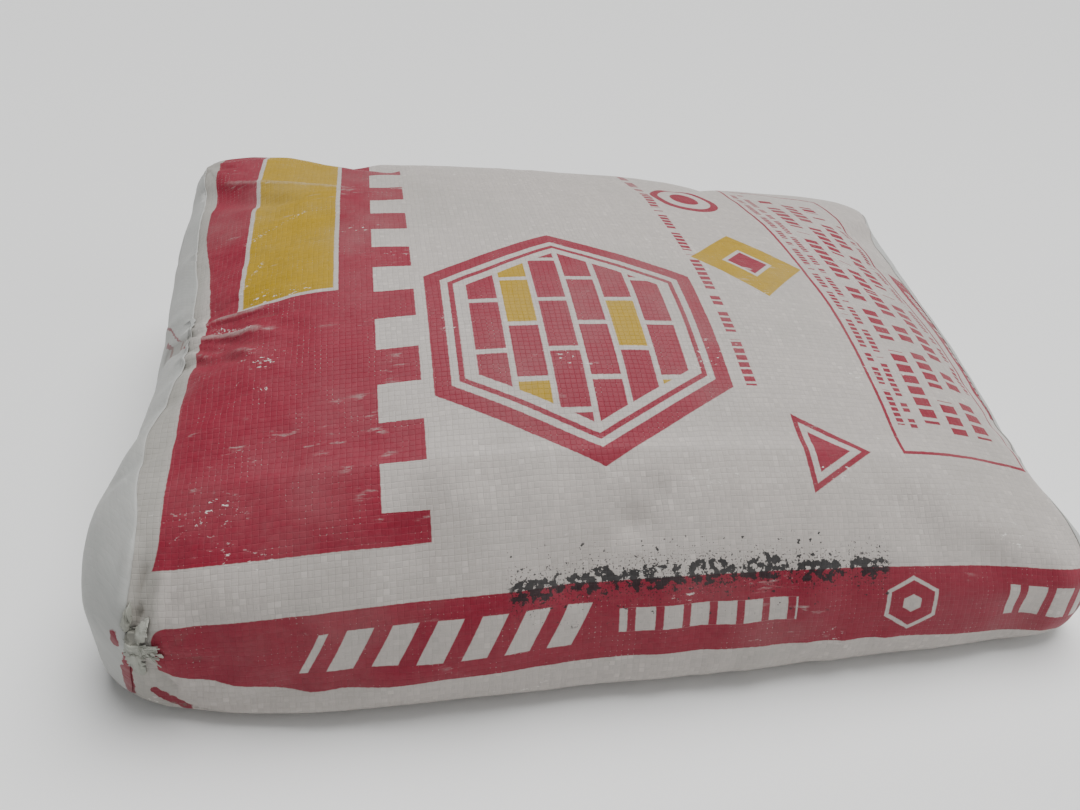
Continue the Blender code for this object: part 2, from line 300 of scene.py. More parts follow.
# %% [markdown]
# ## A map of the sheet
# The print and the weave follow the fabric, so each point needs its place on the sheet before the tube
# was sewn: U metres along and V metres round, with V = 0 on the middle line of the top and negative on
# the near side. Both are lengths measured along the grid. The tube has the same girth everywhere, so each
# row's V is stretched to the largest girth, and what is too much at the ends lies in folds.


# %% A map of the sheet
def place(cage):
    """Cage points on the bag, in the frame of the solid model."""
    return formula(cage) + TO_FRAME


def lengths(points, axis):
    """Running length along one axis of a grid of points, from 0."""
    steps = np.linalg.norm(np.diff(points, axis=axis), axis=-1)
    start = np.zeros_like(np.take(steps, [0], axis=axis))
    return np.concatenate([start, np.cumsum(steps, axis=axis)], axis=axis)


tube = place(tube_cage)
top_column = len(ROUND_Q) // 2
middle_row = int(np.argmin(np.abs(tube[:, top_column, 0])))
sheet_u = lengths(tube, 0)
sheet_u = sheet_u - sheet_u[middle_row:middle_row + 1]
sheet_v = lengths(tube, 1)
girth = sheet_v[:, -1:].copy()
sheet_v = (sheet_v - sheet_v[:, top_column:top_column + 1]) * girth.max() / girth
print("girth at the head, widest and at the foot, mm:", (girth[[0, girth.argmax(), -1], 0] * 1000).round())


def end_map(cage, end):
    """The end's sheet goes on lengthways from the top edge, so U is how far below that edge a point is."""
    points = place(cage)
    down = np.flip(lengths(np.flip(points, axis=1), 1), axis=1)
    edge = sheet_u[0 if end < 0.0 else -1, top_column]
    return np.stack([edge + end * down, points[..., 1]], axis=-1)


# %% [markdown]
# Now the grids become one closed mesh. Its UV map holds U and V in metres, and a second layer of data,
# named cage, remembers each point's cage coordinates through the subdivision that comes later.

# %% The bare skin
end_maps = [end_map(cage, end) for cage, end in zip(end_cages, (-1.0, 1.0))]
maps = [np.stack([sheet_u, sheet_v], axis=-1)] + end_maps
all_map = np.concatenate([sheet.reshape(-1, 2) for sheet in maps])
skin_cage, merged, all_faces = merge([tube_cage] + end_cages, (False, True, False))
skin_faces = merged[all_faces]


def map_sheet(made, corners):
    """Give each corner of each face its U and V."""
    layer = made.data.uv_layers.new(name="sheet")
    layer.data.foreach_set("uv", corners.reshape(-1).astype(np.float32))


def keep(made, name, values):
    """Keep a number or a vector for each point in the mesh, under a name."""
    kind, part = ("FLOAT", "value") if values.ndim == 1 else ("FLOAT_VECTOR", "vector")
    kept = made.data.attributes.new(name, kind, "POINT")
    kept.data.foreach_set(part, values.reshape(-1).astype(np.float32))


def sack_sheet(name, spots):
    """The whole closed skin as a mesh object with its points at the given spots."""
    made = surface(name, spots, skin_faces)
    map_sheet(made, all_map[all_faces])
    keep(made, "cage", skin_cage)
    return made


def read(source, what):
    """An array (n, 3) of what each point of a mesh holds: its place, its normal or its cage coordinates."""
    values = np.empty(len(source) * 3, dtype=np.float32)
    source.foreach_get(what, values)
    return values.reshape(-1, 3).astype(float)


def write(made, spots):
    """Put an array of places (n, 3) back into a mesh."""
    made.data.vertices.foreach_set("co", spots.reshape(-1).astype(np.float32))
    made.data.update()


def move_out(made, distance):
    """Move each point along its normal by one distance, or by its own, and keep it on the floor."""
    spots = read(made.data.vertices, "co")
    spots += read(made.data.vertex_normals, "vector") * np.reshape(distance, (-1, 1))
    spots[:, 2] = np.maximum(spots[:, 2], 0.0)
    write(made, spots)


def work_in(made, kind, **settings):
    """Add a modifier with its settings and work it into the mesh."""
    step = made.modifiers.new(kind.lower(), kind)
    for setting, value in settings.items():
        setattr(step, setting, value)
    graph = bpy.context.evaluated_depsgraph_get()
    mesh = bpy.data.meshes.new_from_object(
        made.evaluated_get(graph), preserve_all_data_layers=True, depsgraph=graph
    )
    made.modifiers.clear()
    made.data = mesh


skin = sack_sheet("sack_skin", place(skin_cage))
print("skin:", len(skin.data.vertices), "points,", len(skin.data.polygons), "cells")

# %% [markdown]
# ## Settling the cloth
# The formula's skin is as smooth as a stone, but real cloth is one flat sheet and can only follow a bag's
# ends by buckling. So it is simulated: the rest shape of every ring round the bag is stretched towards the
# largest girth, the cement presses outwards, and the cloth finds its own soft buckles. What lies on the
# floor is held. Pressure also swells the whole bag, so the broad part of each point's move, the average
# over its neighbourhood, is taken off again, and only the buckles stay.

# %% Settling the cloth
LAST_FRAME, MOST_MOVE = 20, 0.005
SPARE_GIRTH, SMOOTHING_ROUNDS = 0.5, 150
HELD_STEPS, HELD_BELOW = np.linspace(0.1, 1.0, 10), 0.02
CLOTH = {
    "use_pressure": True, "uniform_pressure_force": 4.0, "vertex_group_mass": "held", "mass": 0.2,
    "tension_stiffness": 20.0, "compression_stiffness": 20.0, "bending_stiffness": 0.3, "quality": 5,
}


def spare_shape(spots):
    """Every ring pulled out from its middle, by a share of what its girth lacks to the largest."""
    lack = girth.max() / girth[:, 0] - 1.0
    spare = np.interp(spots[:, 0], tube[:, top_column, 0], lack) * SPARE_GIRTH
    centre = np.array([0.0, 0.0, SIDE_BULGE_HEIGHT])
    pulled = centre + (spots - centre) * (1.0 + spare[:, None])
    pulled[:, 0] = spots[:, 0]
    return pulled


def smoothed(values, edges):
    """Each point's value blended with the average of its neighbours', again and again."""
    count = np.bincount(edges.reshape(-1), minlength=len(values))
    for _ in range(SMOOTHING_ROUNDS):
        total = np.bincount(edges[:, 0], weights=values[edges[:, 1]], minlength=len(values))
        total += np.bincount(edges[:, 1], weights=values[edges[:, 0]], minlength=len(values))
        values = (values + total / count) / 2.0
    return values


def settle(made):
    """Run the cloth and give back its resting points, each within the most that it may move."""
    spots = read(made.data.vertices, "co")
    outwards = read(made.data.vertex_normals, "vector")
    edges = np.empty(len(made.data.edges) * 2, dtype=np.int32)
    made.data.edges.foreach_get("vertices", edges)
    held = made.vertex_groups.new(name="held")
    for weight in HELD_STEPS:
        chosen = np.abs(1.0 - smooth_step(spots[:, 2] / HELD_BELOW) - weight) < HELD_STEPS[0] / 2.0
        held.add(np.flatnonzero(chosen).tolist(), float(weight), "REPLACE")
    made.shape_key_add(name="start")
    rest = made.shape_key_add(name="rest")
    rest.data.foreach_set("co", spare_shape(spots).reshape(-1).astype(np.float32))
    cloth = made.modifiers.new("cloth", "CLOTH")
    for setting, value in CLOTH.items():
        setattr(cloth.settings, setting, value)
    cloth.settings.effector_weights.gravity = 0.0
    cloth.settings.rest_shape_key = rest
    cloth.point_cache.frame_end = LAST_FRAME
    for frame_number in range(1, LAST_FRAME + 1):
        bpy.context.scene.frame_set(frame_number)
    graph = bpy.context.evaluated_depsgraph_get()
    moved = read(made.evaluated_get(graph).to_mesh().vertices, "co") - spots
    made.evaluated_get(graph).to_mesh_clear()
    made.modifiers.clear()
    made.shape_key_clear()
    made.vertex_groups.clear()
    out = np.sum(moved * outwards, axis=1)
    buckles = out - smoothed(out, edges.reshape(-1, 2))
    print("cloth out, mm:", (out.mean() * 1000).round(2), "buckles:", (np.abs(buckles).max() * 1000).round(2))
    return spots + outwards * (MOST_MOVE * np.tanh(buckles / MOST_MOVE))[:, None]


write(skin, settle(skin))

# %% [markdown]
# ## Folds in the cloth
# Loose cloth at the ends also lies in sharp wrinkles that are finer than the simulation's cells. Sculpting
# them by hand would work for one bag only. Here each fold is a line from one point in space to another with
# a width and a height, and a soft lumpy field adds what the powder under the cloth does. Every point moves
# along its own normal.


# %% Folds
LATTICE, FLAT_BELOW = 24, 0.02


def lumpy(points, size, seed):
    """Smooth lumps from -1 to 1: random values on a lattice of a given size, blended between its corners."""
    lattice = np.random.default_rng(seed).uniform(-1.0, 1.0, (LATTICE, LATTICE, LATTICE))
    steps = points / np.array(size)
    whole = np.floor(steps).astype(int)
    part = smooth_step(steps - whole)
    total = np.zeros(len(points))
    for corner in np.ndindex(2, 2, 2):
        share = np.prod(np.where(np.array(corner) == 1, part, 1.0 - part), axis=1)
        total += share * lattice[tuple(((whole + corner) % LATTICE).T)]
    return total


def line_distance(points, start, end):
    """How far each point is from a straight piece of line, and how far along it the nearest point is."""
    start, end = np.array(start), np.array(end)
    way = end - start
    along = (points - start) @ way / (way @ way)
    nearest = start + np.clip(along, 0.0, 1.0)[:, None] * way
    return np.linalg.norm(points - nearest, axis=1), along


def fold(points, start, end, width, height):
    """A round ridge from start to end, or a sharp groove if the height is negative. It fades at both ends."""
    distance, along = line_distance(points, start, end)
    fade = smooth_step(along / 0.3 + 0.5) * smooth_step((1.0 - along) / 0.3 + 0.5)
    section = hump(distance, width) if height > 0.0 else np.exp(-distance / width)
    return height * section * fade


def fan(points, centre, toward, reach, turns, height, seed):
    """Wrinkles that spread from a centre: round ridges and sharp grooves by angle. They die out far away."""
    away = points - np.array(centre)
    toward = np.array(toward) / np.linalg.norm(toward)
    side = np.cross((0.0, 0.0, 1.0), toward)
    side /= np.linalg.norm(side)
    angle = np.arctan2(away @ side, away @ toward)
    distance = np.linalg.norm(away, axis=1)
    wave = 1.0 - 2.0 * np.abs(np.sin(angle * turns / 2.0 + 1.6 * lumpy(points, 0.034, seed))) ** 0.8
    spread = smooth_step(distance / 0.014) * hump(distance, reach) * smooth_step(1.3 - np.abs(angle))
    return height * wave * spread * (0.65 + 0.5 * lumpy(points, 0.022, seed + 50))


# %% [markdown]
# The lines below were read off the photograph: the pinch in the middle of the head, the puckered far
# corner and the folds that run into the valve at the near corner. Dents are broader: a long one runs slanting
# up the near side, and small ones ripple the edge that lies on the floor.

# %% The bag's own folds
FOLDS = (
    ((-0.2830, -0.0340, 0.0940), (-0.2560, -0.0500, 0.1180), 0.0030, -0.0070),
    ((-0.2600, -0.0480, 0.1170), (-0.2061, -0.0532, 0.1327), 0.0016, -0.0024),
    ((-0.2620, -0.0560, 0.1140), (-0.2125, -0.0766, 0.1264), 0.0018, -0.0020),
    ((-0.2600, -0.0680, 0.1130), (-0.2217, -0.0839, 0.1226), 0.0018, -0.0017),
    ((-0.2640, -0.0330, 0.1170), (-0.2221, -0.0340, 0.1321), 0.0018, -0.0013),
    ((-0.2560, -0.0520, 0.1180), (-0.2100, -0.0640, 0.1300), 0.0032, 0.0019),
    ((-0.2560, -0.0420, 0.1200), (-0.2100, -0.0440, 0.1320), 0.0032, 0.0014),
    ((-0.2560, -0.0630, 0.1150), (-0.2160, -0.0800, 0.1245), 0.0030, 0.0013),
    ((-0.2570, 0.1292, 0.1392), (-0.1620, 0.0904, 0.1485), 0.0030, 0.0014),
    ((-0.2690, 0.1750, 0.1340), (-0.2380, 0.1700, 0.1420), 0.0022, -0.0024),
    ((-0.2708, 0.1560, 0.1370), (-0.2450, 0.1520, 0.1430), 0.0020, -0.0016),
    ((-0.2653, -0.2000, 0.0520), (-0.2620, -0.1930, 0.0620), 0.0028, -0.0034),
    ((-0.2635, -0.1964, 0.0592), (-0.2590, -0.1800, 0.0760), 0.0026, -0.0022),
    ((-0.2653, -0.2000, 0.0520), (-0.2653, -0.2000, 0.0490), 0.0028, -0.0050),
    ((-0.2545, -0.2010, 0.0580), (-0.2500, -0.1840, 0.0750), 0.0032, 0.0019),
    ((-0.2500, -0.2000, 0.0600), (-0.2440, -0.1760, 0.0830), 0.0018, -0.0014),
    ((-0.2700, -0.1930, 0.0600), (-0.2640, -0.1700, 0.0810), 0.0030, 0.0020),
    ((-0.2640, -0.1900, 0.0640), (-0.2590, -0.1690, 0.0830), 0.0016, -0.0013),
    ((-0.2500, -0.2080, 0.0480), (-0.2300, -0.2010, 0.0660), 0.0022, -0.0016),
    ((-0.2560, -0.2040, 0.0440), (-0.2360, -0.2120, 0.0400), 0.0024, -0.0022),
    ((-0.2620, -0.2030, 0.0400), (-0.2500, -0.2080, 0.0200), 0.0024, -0.0020),
    ((-0.2640, -0.2030, 0.0100), (-0.2250, -0.2120, 0.0140), 0.0014, -0.0022),
    ((-0.2420, -0.2090, 0.0640), (-0.1500, -0.2150, 0.0690), 0.0014, -0.0006),
)
RIPPLE_PLACES = (0.004, 0.026, 0.051, 0.072, 0.097)
RIPPLES = [((x, -0.2100, 0.004), (x + 0.007, -0.2175, 0.027), 0.0052, 0.0026) for x in RIPPLE_PLACES]
DENTS = (
    ((-0.2830, -0.0130, 0.0990), (-0.2600, -0.0220, 0.1190), 0.0050, 0.0014),
    ((-0.2650, 0.1650, 0.1370), (-0.2400, 0.1610, 0.1430), 0.0040, 0.0016),
    ((-0.0745, -0.2122, 0.0656), (-0.0318, -0.1845, 0.0931), 0.0110, -0.0040),
    ((-0.0360, -0.1930, 0.0860), (-0.0192, -0.1724, 0.1009), 0.0090, -0.0030),
    ((-0.0900, -0.2160, 0.0150), (0.0500, -0.2170, 0.0150), 0.0090, 0.0012),
    *RIPPLES,
)
FANS = (
    ((-0.2700, -0.0450, 0.1120), (1.0, 0.0, 0.35), 0.070, 31.0, 0.0019, 11),
    ((-0.2790, 0.1780, 0.1300), (1.0, -0.25, 0.2), 0.055, 17.0, 0.0011, 12),
    ((-0.2680, -0.2000, 0.0540), (0.8, 0.3, 0.5), 0.038, 15.0, 0.0013, 13),
    ((-0.2720, 0.0400, 0.1210), (1.0, 0.0, 0.3), 0.045, 19.0, 0.0006, 14),
)


def creases(points):
    """How far the sharp folds and the fans together lift each point. Little moves on the flat underside."""
    height = sum(fold(points, *line) for line in FOLDS) + sum(fan(points, *spread) for spread in FANS)
    return height * smooth_step(points[:, 2] / FLAT_BELOW)


def lumps(points):
    """The dents, broad lumps, upright ones on the near side, and small ones that grow towards the head."""
    near_head = smooth_step((-0.12 - points[:, 0]) / 0.14)
    near_side = smooth_step((-0.150 - points[:, 1]) / 0.05)
    height = 0.0009 * lumpy(points, 0.060, 1) + (0.0003 + 0.0006 * near_head) * lumpy(points, 0.018, 2)
    height += (0.0002 + 0.0009 * near_side) * lumpy(points, (0.020, 0.055, 0.055), 3)
    height += 0.00016 * lumpy(points, 0.0085, 4) + sum(fold(points, *line) for line in DENTS)
    return height * smooth_step(points[:, 2] / FLAT_BELOW)


print("folds, dents and fans:", len(FOLDS), len(DENTS), len(FANS))

# %% [markdown]
# The coarse skin is now split once, smoothly, and the folds are pressed into the finer mesh. How high each
# point lies on a fold is kept in the mesh as well, because ink rubs off ridges, which also paints a highlight
# on them, and grooves are darkened with painted shade and dirt. So is each point's place on the smooth bag,
# by which marks beside the folds are placed.
# The cement inside takes the coarse skin's points, lies a little further in and follows the same folds.

# %% The finished skin and the cement
CEMENT_INSET = 0.0025


def remember(made, smooth_places):
    """Keep what the material needs: each point's place on the smooth bag, and its fold's height in mm."""
    keep(made, "smooth_place", smooth_places)
    keep(made, "crease", creases(smooth_places) * 1000.0)


settled = read(skin.data.vertices, "co")
work_in(skin, "SUBSURF", levels=1, render_levels=1)
smooth_skin = place(read(skin.data.attributes["cage"].data, "vector"))
remember(skin, smooth_skin)
move_out(skin, creases(smooth_skin) + lumps(smooth_skin))
cement = sack_sheet("cement", settled)
move_out(cement, creases(place(skin_cage)) + lumps(place(skin_cage)))
move_out(cement, -CEMENT_INSET)
print("finished skin:", len(skin.data.polygons), "cells")

# %% [markdown]
# ## The cover patches
# Both folded ends are closed with a patch that is welded on from just above the floor, up the end and over
# the shoulder. Its face is a grid across the end. A strip of more cells goes on from the face's top edge and
# near edge over the shoulder, narrow in most places and wide at the near corner. A Shrinkwrap lays both on
# the wrinkled skin, and Solidify gives them their thickness.

# %% The cover patches
PATCH_COLUMNS, PATCH_ROWS, EDGE_ROWS = 150, 46, 12
PATCH_HALF_WIDTH, PATCH_START_HEIGHT = 0.180, 0.010
PATCH_GAP, PATCH_THICKNESS = 0.0003, 0.0004
HEAD_OVERLAP, FOOT_OVERLAP, LEAST_OVERLAP = 0.0035, 0.004, 0.0005
NARROWER, NARROWER_FROM_MIDDLE, NARROWER_REACH = 0.0035, 0.09, 0.07
WIDER, WIDER_FROM_MIDDLE, WIDER_REACH = 0.0150, -0.158, 0.031
SHARE_AT_FLOOR, FULL_HEIGHT, FARTHEST_BACK = 0.12, 0.055, 0.25
SHARE_AT_RIM, ROWS_TO_FULL_GAP = 0.15, 2.0


def overlap(points, end):
    """How far the patch reaches past the shoulder: more at the near corner, next to nothing at the floor."""
    y, z = points[:, 1], points[:, 2]
    sample = np.stack([y * 0.5, np.full_like(y, end), z * 0.5], axis=1)
    reach = 0.0014 * lumpy(sample, 0.012, 21) + 0.0004 * lumpy(sample, 0.0045, 22)
    if end < 0.0:
        reach += HEAD_OVERLAP - NARROWER * hump(y - NARROWER_FROM_MIDDLE, NARROWER_REACH)
        reach += WIDER * hump(y - WIDER_FROM_MIDDLE, WIDER_REACH)
    else:
        reach += FOOT_OVERLAP
    share = SHARE_AT_FLOOR + (1.0 - SHARE_AT_FLOOR) * smooth_step(z / FULL_HEIGHT)
    return np.maximum(reach * share, LEAST_OVERLAP)


def patch_grids(end):
    """Cage points of the face and of the strip, whose border runs along the top, then down the near edge."""
    fine = np.linspace(-1.0, 1.0, 801)
    y = place(grid(end, fine, 0.0))[:, 1]
    z = place(grid(end, 0.0, fine))[:, 2]
    q = np.interp(np.linspace(y[0], PATCH_HALF_WIDTH, PATCH_COLUMNS + 1), y, fine)
    r = np.linspace(np.interp(PATCH_START_HEIGHT, z, fine), 1.0, PATCH_ROWS + 1)
    face = grid(end, q[:, None], r[None])
    border = np.concatenate([face[::-1, -1], face[0, -2::-1]])
    back = np.linspace(0.0, FARTHEST_BACK, 101)
    over = grid(end * (1.0 - back)[None], border[:, 1:2], border[:, 2:])
    reach = overlap(place(border), end)[:, None] * np.linspace(0.0, 1.0, EDGE_ROWS + 1)
    back_at = np.array([np.interp(*row, back) for row in zip(reach, lengths(place(over), 1))])
    return face, grid(end * (1.0 - back_at), border[:, 1:2], border[:, 2:])


def lay_on_skin(made):
    """Move every point of a piece to the nearest place on the finished skin."""
    work_in(made, "SHRINKWRAP", target=skin, wrap_mode="ABOVE_SURFACE")


def thicken(made, thickness):
    """Give a sheet a wall on its outer side."""
    work_in(made, "SOLIDIFY", thickness=thickness, offset=1.0)


def rows_from_rim(face, strip):
    """How many cells each point lies from the patch's own rim, for the face and then for the strip."""
    columns, rows = np.indices(face.shape[:2])
    along, over = np.indices(strip.shape[:2])
    on_face = np.minimum(columns[::-1], rows)
    on_strip = np.minimum(np.minimum(along, along[::-1]), over[:, ::-1])
    return np.concatenate([on_face.reshape(-1), on_strip.reshape(-1)])


def cover_patch(name, end):
    """The patch on the head, -1, or on the foot, 1, laid on the skin with a gap that closes at its rim."""
    face, strip = patch_grids(end)
    cage, number, faces = merge([face, strip], (end < 0.0, end > 0.0))
    smooth_spots = place(cage)
    made = surface(name, smooth_spots, number[faces])
    x, y, z = smooth_spots.T
    sheet = np.stack([z - end * x, y - end * x], axis=-1)
    map_sheet(made, sheet[number[faces]])
    remember(made, smooth_spots)
    lay_on_skin(made)
    from_rim = np.full(len(cage), PATCH_COLUMNS)
    np.minimum.at(from_rim, number, rows_from_rim(face, strip))
    share = SHARE_AT_RIM + (1.0 - SHARE_AT_RIM) * smooth_step(from_rim / ROWS_TO_FULL_GAP)
    move_out(made, PATCH_GAP * share)
    thicken(made, PATCH_THICKNESS)
    return made


head_patch = cover_patch("head_patch", -1.0)
foot_patch = cover_patch("foot_patch", 1.0)
print("patches:", [len(made.data.polygons) for made in (head_patch, foot_patch)])

# %% [markdown]
# ## The mouth of the valve
# The bag was filled through a sleeve in its near corner, and the cement then pressed the sleeve shut. What
# shows is its torn mouth: two crumpled lips that curl out over the corner, a dark gap beside them and
# frayed ends of tape. Each lip is a sheet with two parameters, along and across. It is drawn flat in a plane
# at the corner, laid on the skin, and then lifted, curled and crumpled. Lengths in this plane are in mm.

# %% The mouth of the valve
VALVE_HOLE = np.array([-0.2653, -0.2000, 0.0520])
VALVE_OUT = np.array([-0.276, -0.861, 0.427])
VALVE_UP = np.array([0.214, 0.378, 0.900])
VALVE_RIGHT = np.cross(VALVE_UP, VALVE_OUT)
LIP_CELLS, LIP_THICKNESS, LEAST_LIFT = (46, 26), 0.00022, 0.25
SLEEVE_CELLS, SLEEVE_START = (40, 60), 0.012
THREADS, THREAD_POINTS = 26, 9
THREAD_STARTS, THREAD_TURN, THREAD_BEND = ((1.0, -9.0), (11.0, -2.5)), (-0.5, 1.1), (-1.2, 1.2)
THREAD_REACH, THREAD_HALF_WIDTH = (2.5, 7.5), (0.18, 0.45)
THREAD_START_HEIGHT, THREAD_END_HEIGHT = (1.2, 2.6), (0.3, 1.4)


def at_valve(right_mm, up_mm):
    """Places in the corner's plane, in metres, from millimetres to the right of the hole and above it."""
    return VALVE_HOLE + (right_mm[..., None] * VALVE_RIGHT + up_mm[..., None] * VALVE_UP) / 1000.0


def lip(name, route, widths, lift, seed):
    """A sheet along a route of points in the corner's plane, with its width, height and crumples in mm."""
    parameters = np.linspace(0.0, 1.0, LIP_CELLS[0]), np.linspace(-1.0, 1.0, LIP_CELLS[1])
    along, across = np.meshgrid(*parameters, indexing="ij")
    stations = np.linspace(0.0, 1.0, len(route))
    middle = np.stack([np.interp(along[:, 0], stations, part) for part in np.array(route).T], axis=1)
    way = np.gradient(middle, axis=0)
    way /= np.linalg.norm(way, axis=1, keepdims=True)
    width = np.interp(along, stations, widths)
    at = np.stack([along, across * 0.0, along], axis=-1).reshape(-1, 3)
    ragged = 1.0 + 0.30 * lumpy(at, 0.045, seed).reshape(along.shape)
    reach = across * width * np.where(np.abs(across) > 0.6, ragged, 1.0)
    right_mm = middle[:, None, 0] - reach * way[:, None, 1]
    up_mm = middle[:, None, 1] + reach * way[:, None, 0]
    made = surface(name, at_valve(right_mm, up_mm).reshape(-1, 3), cell_faces(*along.shape))
    remember(made, at_valve(right_mm, up_mm).reshape(-1, 3))
    lay_on_skin(made)
    spots = read(made.data.vertices, "co")
    crumple = 0.55 * lumpy(spots, 0.0032, seed + 1) + 0.30 * lumpy(spots, 0.0015, seed + 2)
    height = (lift * np.sin(np.pi * along ** 0.7) * (1.0 - 0.75 * across ** 2.0)).reshape(-1)
    height = 0.5 + height + (0.3 + height * 0.45) * crumple
    write(made, spots + VALVE_OUT * np.maximum(height, LEAST_LIFT)[:, None] / 1000.0)
    return made


def threads(name, count, seed):
    """Frayed ends of tape: thin ribbons that start at the torn edge and droop in random directions."""
    draw = np.random.default_rng(seed)
    along = np.linspace(0.0, 1.0, THREAD_POINTS)
    start = draw.uniform(*THREAD_STARTS, (count, 2))
    turn = draw.normal(*THREAD_TURN, count)
    bend = draw.uniform(*THREAD_BEND, count)
    reach = draw.uniform(*THREAD_REACH, count)
    angle = turn[:, None] + bend[:, None] * along
    step = reach[:, None] / (THREAD_POINTS - 1)
    right_mm = start[:, :1] + np.cumsum(np.cos(angle) * step, axis=1)
    up_mm = start[:, 1:] + np.cumsum(np.sin(angle) * step, axis=1)
    half_width = draw.uniform(*THREAD_HALF_WIDTH, count)[:, None, None]
    side = np.stack([-np.sin(angle), np.cos(angle)], axis=-1) * half_width
    flat = np.stack([np.stack([right_mm, up_mm], axis=-1) + sign * side for sign in (-1.0, 1.0)], axis=2)
    height = draw.uniform(*THREAD_START_HEIGHT, count)[:, None] * (1.0 - along ** 2.0)
    height += draw.uniform(*THREAD_END_HEIGHT, count)[:, None]
    spots = at_valve(flat[..., 0], flat[..., 1]).reshape(-1, 3)
    number = np.arange(count * THREAD_POINTS * 2).reshape(count, THREAD_POINTS, 2)
    near, far = number[:, :-1], number[:, 1:]
    faces = np.stack([near[..., 0], far[..., 0], far[..., 1], near[..., 1]], axis=-1)
    made = surface(name, spots, faces.reshape(-1, 4))
    lay_on_skin(made)
    lift = VALVE_OUT * np.repeat(height.reshape(-1), 2)[:, None] / 1000.0
    write(made, read(made.data.vertices, "co") + lift)
    return made


def flat_sleeve(name):
    """The pressed tube behind the lips: a flat ring carried inwards, wavy where the cement pushed it."""
    low, high = (np.array(corner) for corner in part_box("valve_sleeve"))
    inwards = np.linspace(0.0, 1.0, SLEEVE_CELLS[0])
    turn = np.linspace(0.0, 2.0 * np.pi, SLEEVE_CELLS[1], endpoint=False)
    middle, half = (low + high) / 2.0, (high - low) / 2.0
    y = (low[1] + SLEEVE_START) + inwards[:, None] * (high[1] - low[1] - SLEEVE_START) + 0.0 * turn
    z = middle[2] + half[2] * np.cos(turn) + 0.0 * y
    x = middle[0] + 0.4 * half[0] * np.sin(turn) + 0.0008 * np.sin(inwards[:, None] * 9.0)
    spots = np.stack([x, y, z], axis=-1)
    ring = np.concatenate([spots, spots[:, :1]], axis=1)
    return surface(name, ring.reshape(-1, 3), cell_faces(*ring.shape[:2]))


LIPS = (
    ("upper_lip", ((-1.0, -4.0), (3.5, 2.0), (5.0, 7.0), (5.8, 10.5)), (2.6, 3.6, 2.4, 0.3), 2.6, 31),
    ("side_lip", ((-1.5, 1.0), (-3.0, 5.0), (-3.2, 9.0), (-2.2, 13.0)), (1.4, 2.4, 1.8, 0.3), 1.6, 41),
    ("torn_lip", ((-2.5, -3.5), (2.5, -5.5), (7.5, -6.5), (12.5, -5.5)), (2.4, 3.8, 3.4, 2.0), 2.4, 51),
    ("low_lip", ((-0.5, -6.0), (0.5, -11.0), (2.0, -17.0), (4.0, -24.0)), (2.8, 4.4, 4.6, 3.2), 0.9, 61),
)


def joined(name, pieces):
    """One object from several, for parts that were one thing. Each keeps its own separate faces."""
    first = pieces[0]
    with bpy.context.temp_override(active_object=first, selected_editable_objects=pieces):
        bpy.ops.object.join()
    first.name = name
    first.data.name = name
    return first


lips = [lip(*settings) for settings in LIPS]
mouth = joined("valve_mouth", [*lips, threads("threads", THREADS, 71), flat_sleeve("sleeve")])
thicken(mouth, LIP_THICKNESS)
print("valve:", len(mouth.data.polygons), "cells")

# %% [markdown]
# ## Helpers for shader nodes
# A material's pattern is a chain of small sums. These helpers add one node each and hand back its output,
# so that a pattern reads like a formula. A value may be another node's output or a plain number.


# %% Helpers for shader nodes
def feed(tree, value, socket):
    """Link an output to a socket, or set a plain value on it."""
    if isinstance(value, bpy.types.NodeSocket):
        tree.links.new(value, socket)
    else:
        socket.default_value = value


def math(tree, operation, *values):
    """One sum with numbers."""
    step = tree.nodes.new("ShaderNodeMath")
    step.operation = operation
    for value, socket in zip(values, step.inputs):
        feed(tree, value, socket)
    return step.outputs[0]


def plus(tree, first, second):
    """The first number and the second."""
    return math(tree, "ADD", first, second)


def minus(tree, first, second):
    """The first number less the second."""
    return math(tree, "SUBTRACT", first, second)


def times(tree, first, second):
    """The first number times the second."""
    return math(tree, "MULTIPLY", first, second)


def vectors(tree, operation, *values):
    """One sum with vectors. A length or a dot product comes back as a number."""
    step = tree.nodes.new("ShaderNodeVectorMath")
    step.operation = operation
    sockets = [step.inputs[0], step.inputs["Scale"]] if operation == "SCALE" else step.inputs
    for value, socket in zip(values, sockets):
        feed(tree, value, socket)
    return step.outputs["Value" if operation in ("LENGTH", "DOT_PRODUCT") else "Vector"]


def parts_of(tree, vector):
    """The first two parts of a vector."""
    step = tree.nodes.new("ShaderNodeSeparateXYZ")
    feed(tree, vector, step.inputs[0])
    return step.outputs[0], step.outputs[1]


def together(tree, x, y):
    """A vector from two numbers."""
    step = tree.nodes.new("ShaderNodeCombineXYZ")
    feed(tree, x, step.inputs[0])
    feed(tree, y, step.inputs[1])
    return step.outputs[0]


def rise(tree, value, low, high, top=1.0):
    """0 below the low value, then a smooth rise to the top at the high one. It falls if high is below low."""
    step = tree.nodes.new("ShaderNodeMapRange")
    step.interpolation_type = "SMOOTHSTEP"
    for socket, number in zip(step.inputs, (value, low, high, 0.0, top)):
        feed(tree, number, socket)
    return step.outputs[0]


def blend_colours(tree, share, first, second):
    """From the first colour to the second as the share goes from 0 to 1."""
    step = tree.nodes.new("ShaderNodeMix")
    step.data_type = "RGBA"
    for socket, value in ((0, share), (6, first), (7, second)):
        plain = isinstance(value, (float, bpy.types.NodeSocket))
        feed(tree, value if plain else (*value, 1.0), step.inputs[socket])
    return step.outputs[2]


def cloudy(tree, place, scale, detail=2.0, roughness=0.5):
    """Soft noise with so many clouds to the metre, mostly between 0.3 and 0.7."""
    step = tree.nodes.new("ShaderNodeTexNoise")
    for name, value in (("Vector", place), ("Scale", scale), ("Detail", detail), ("Roughness", roughness)):
        feed(tree, value, step.inputs[name])
    return step.outputs[0]


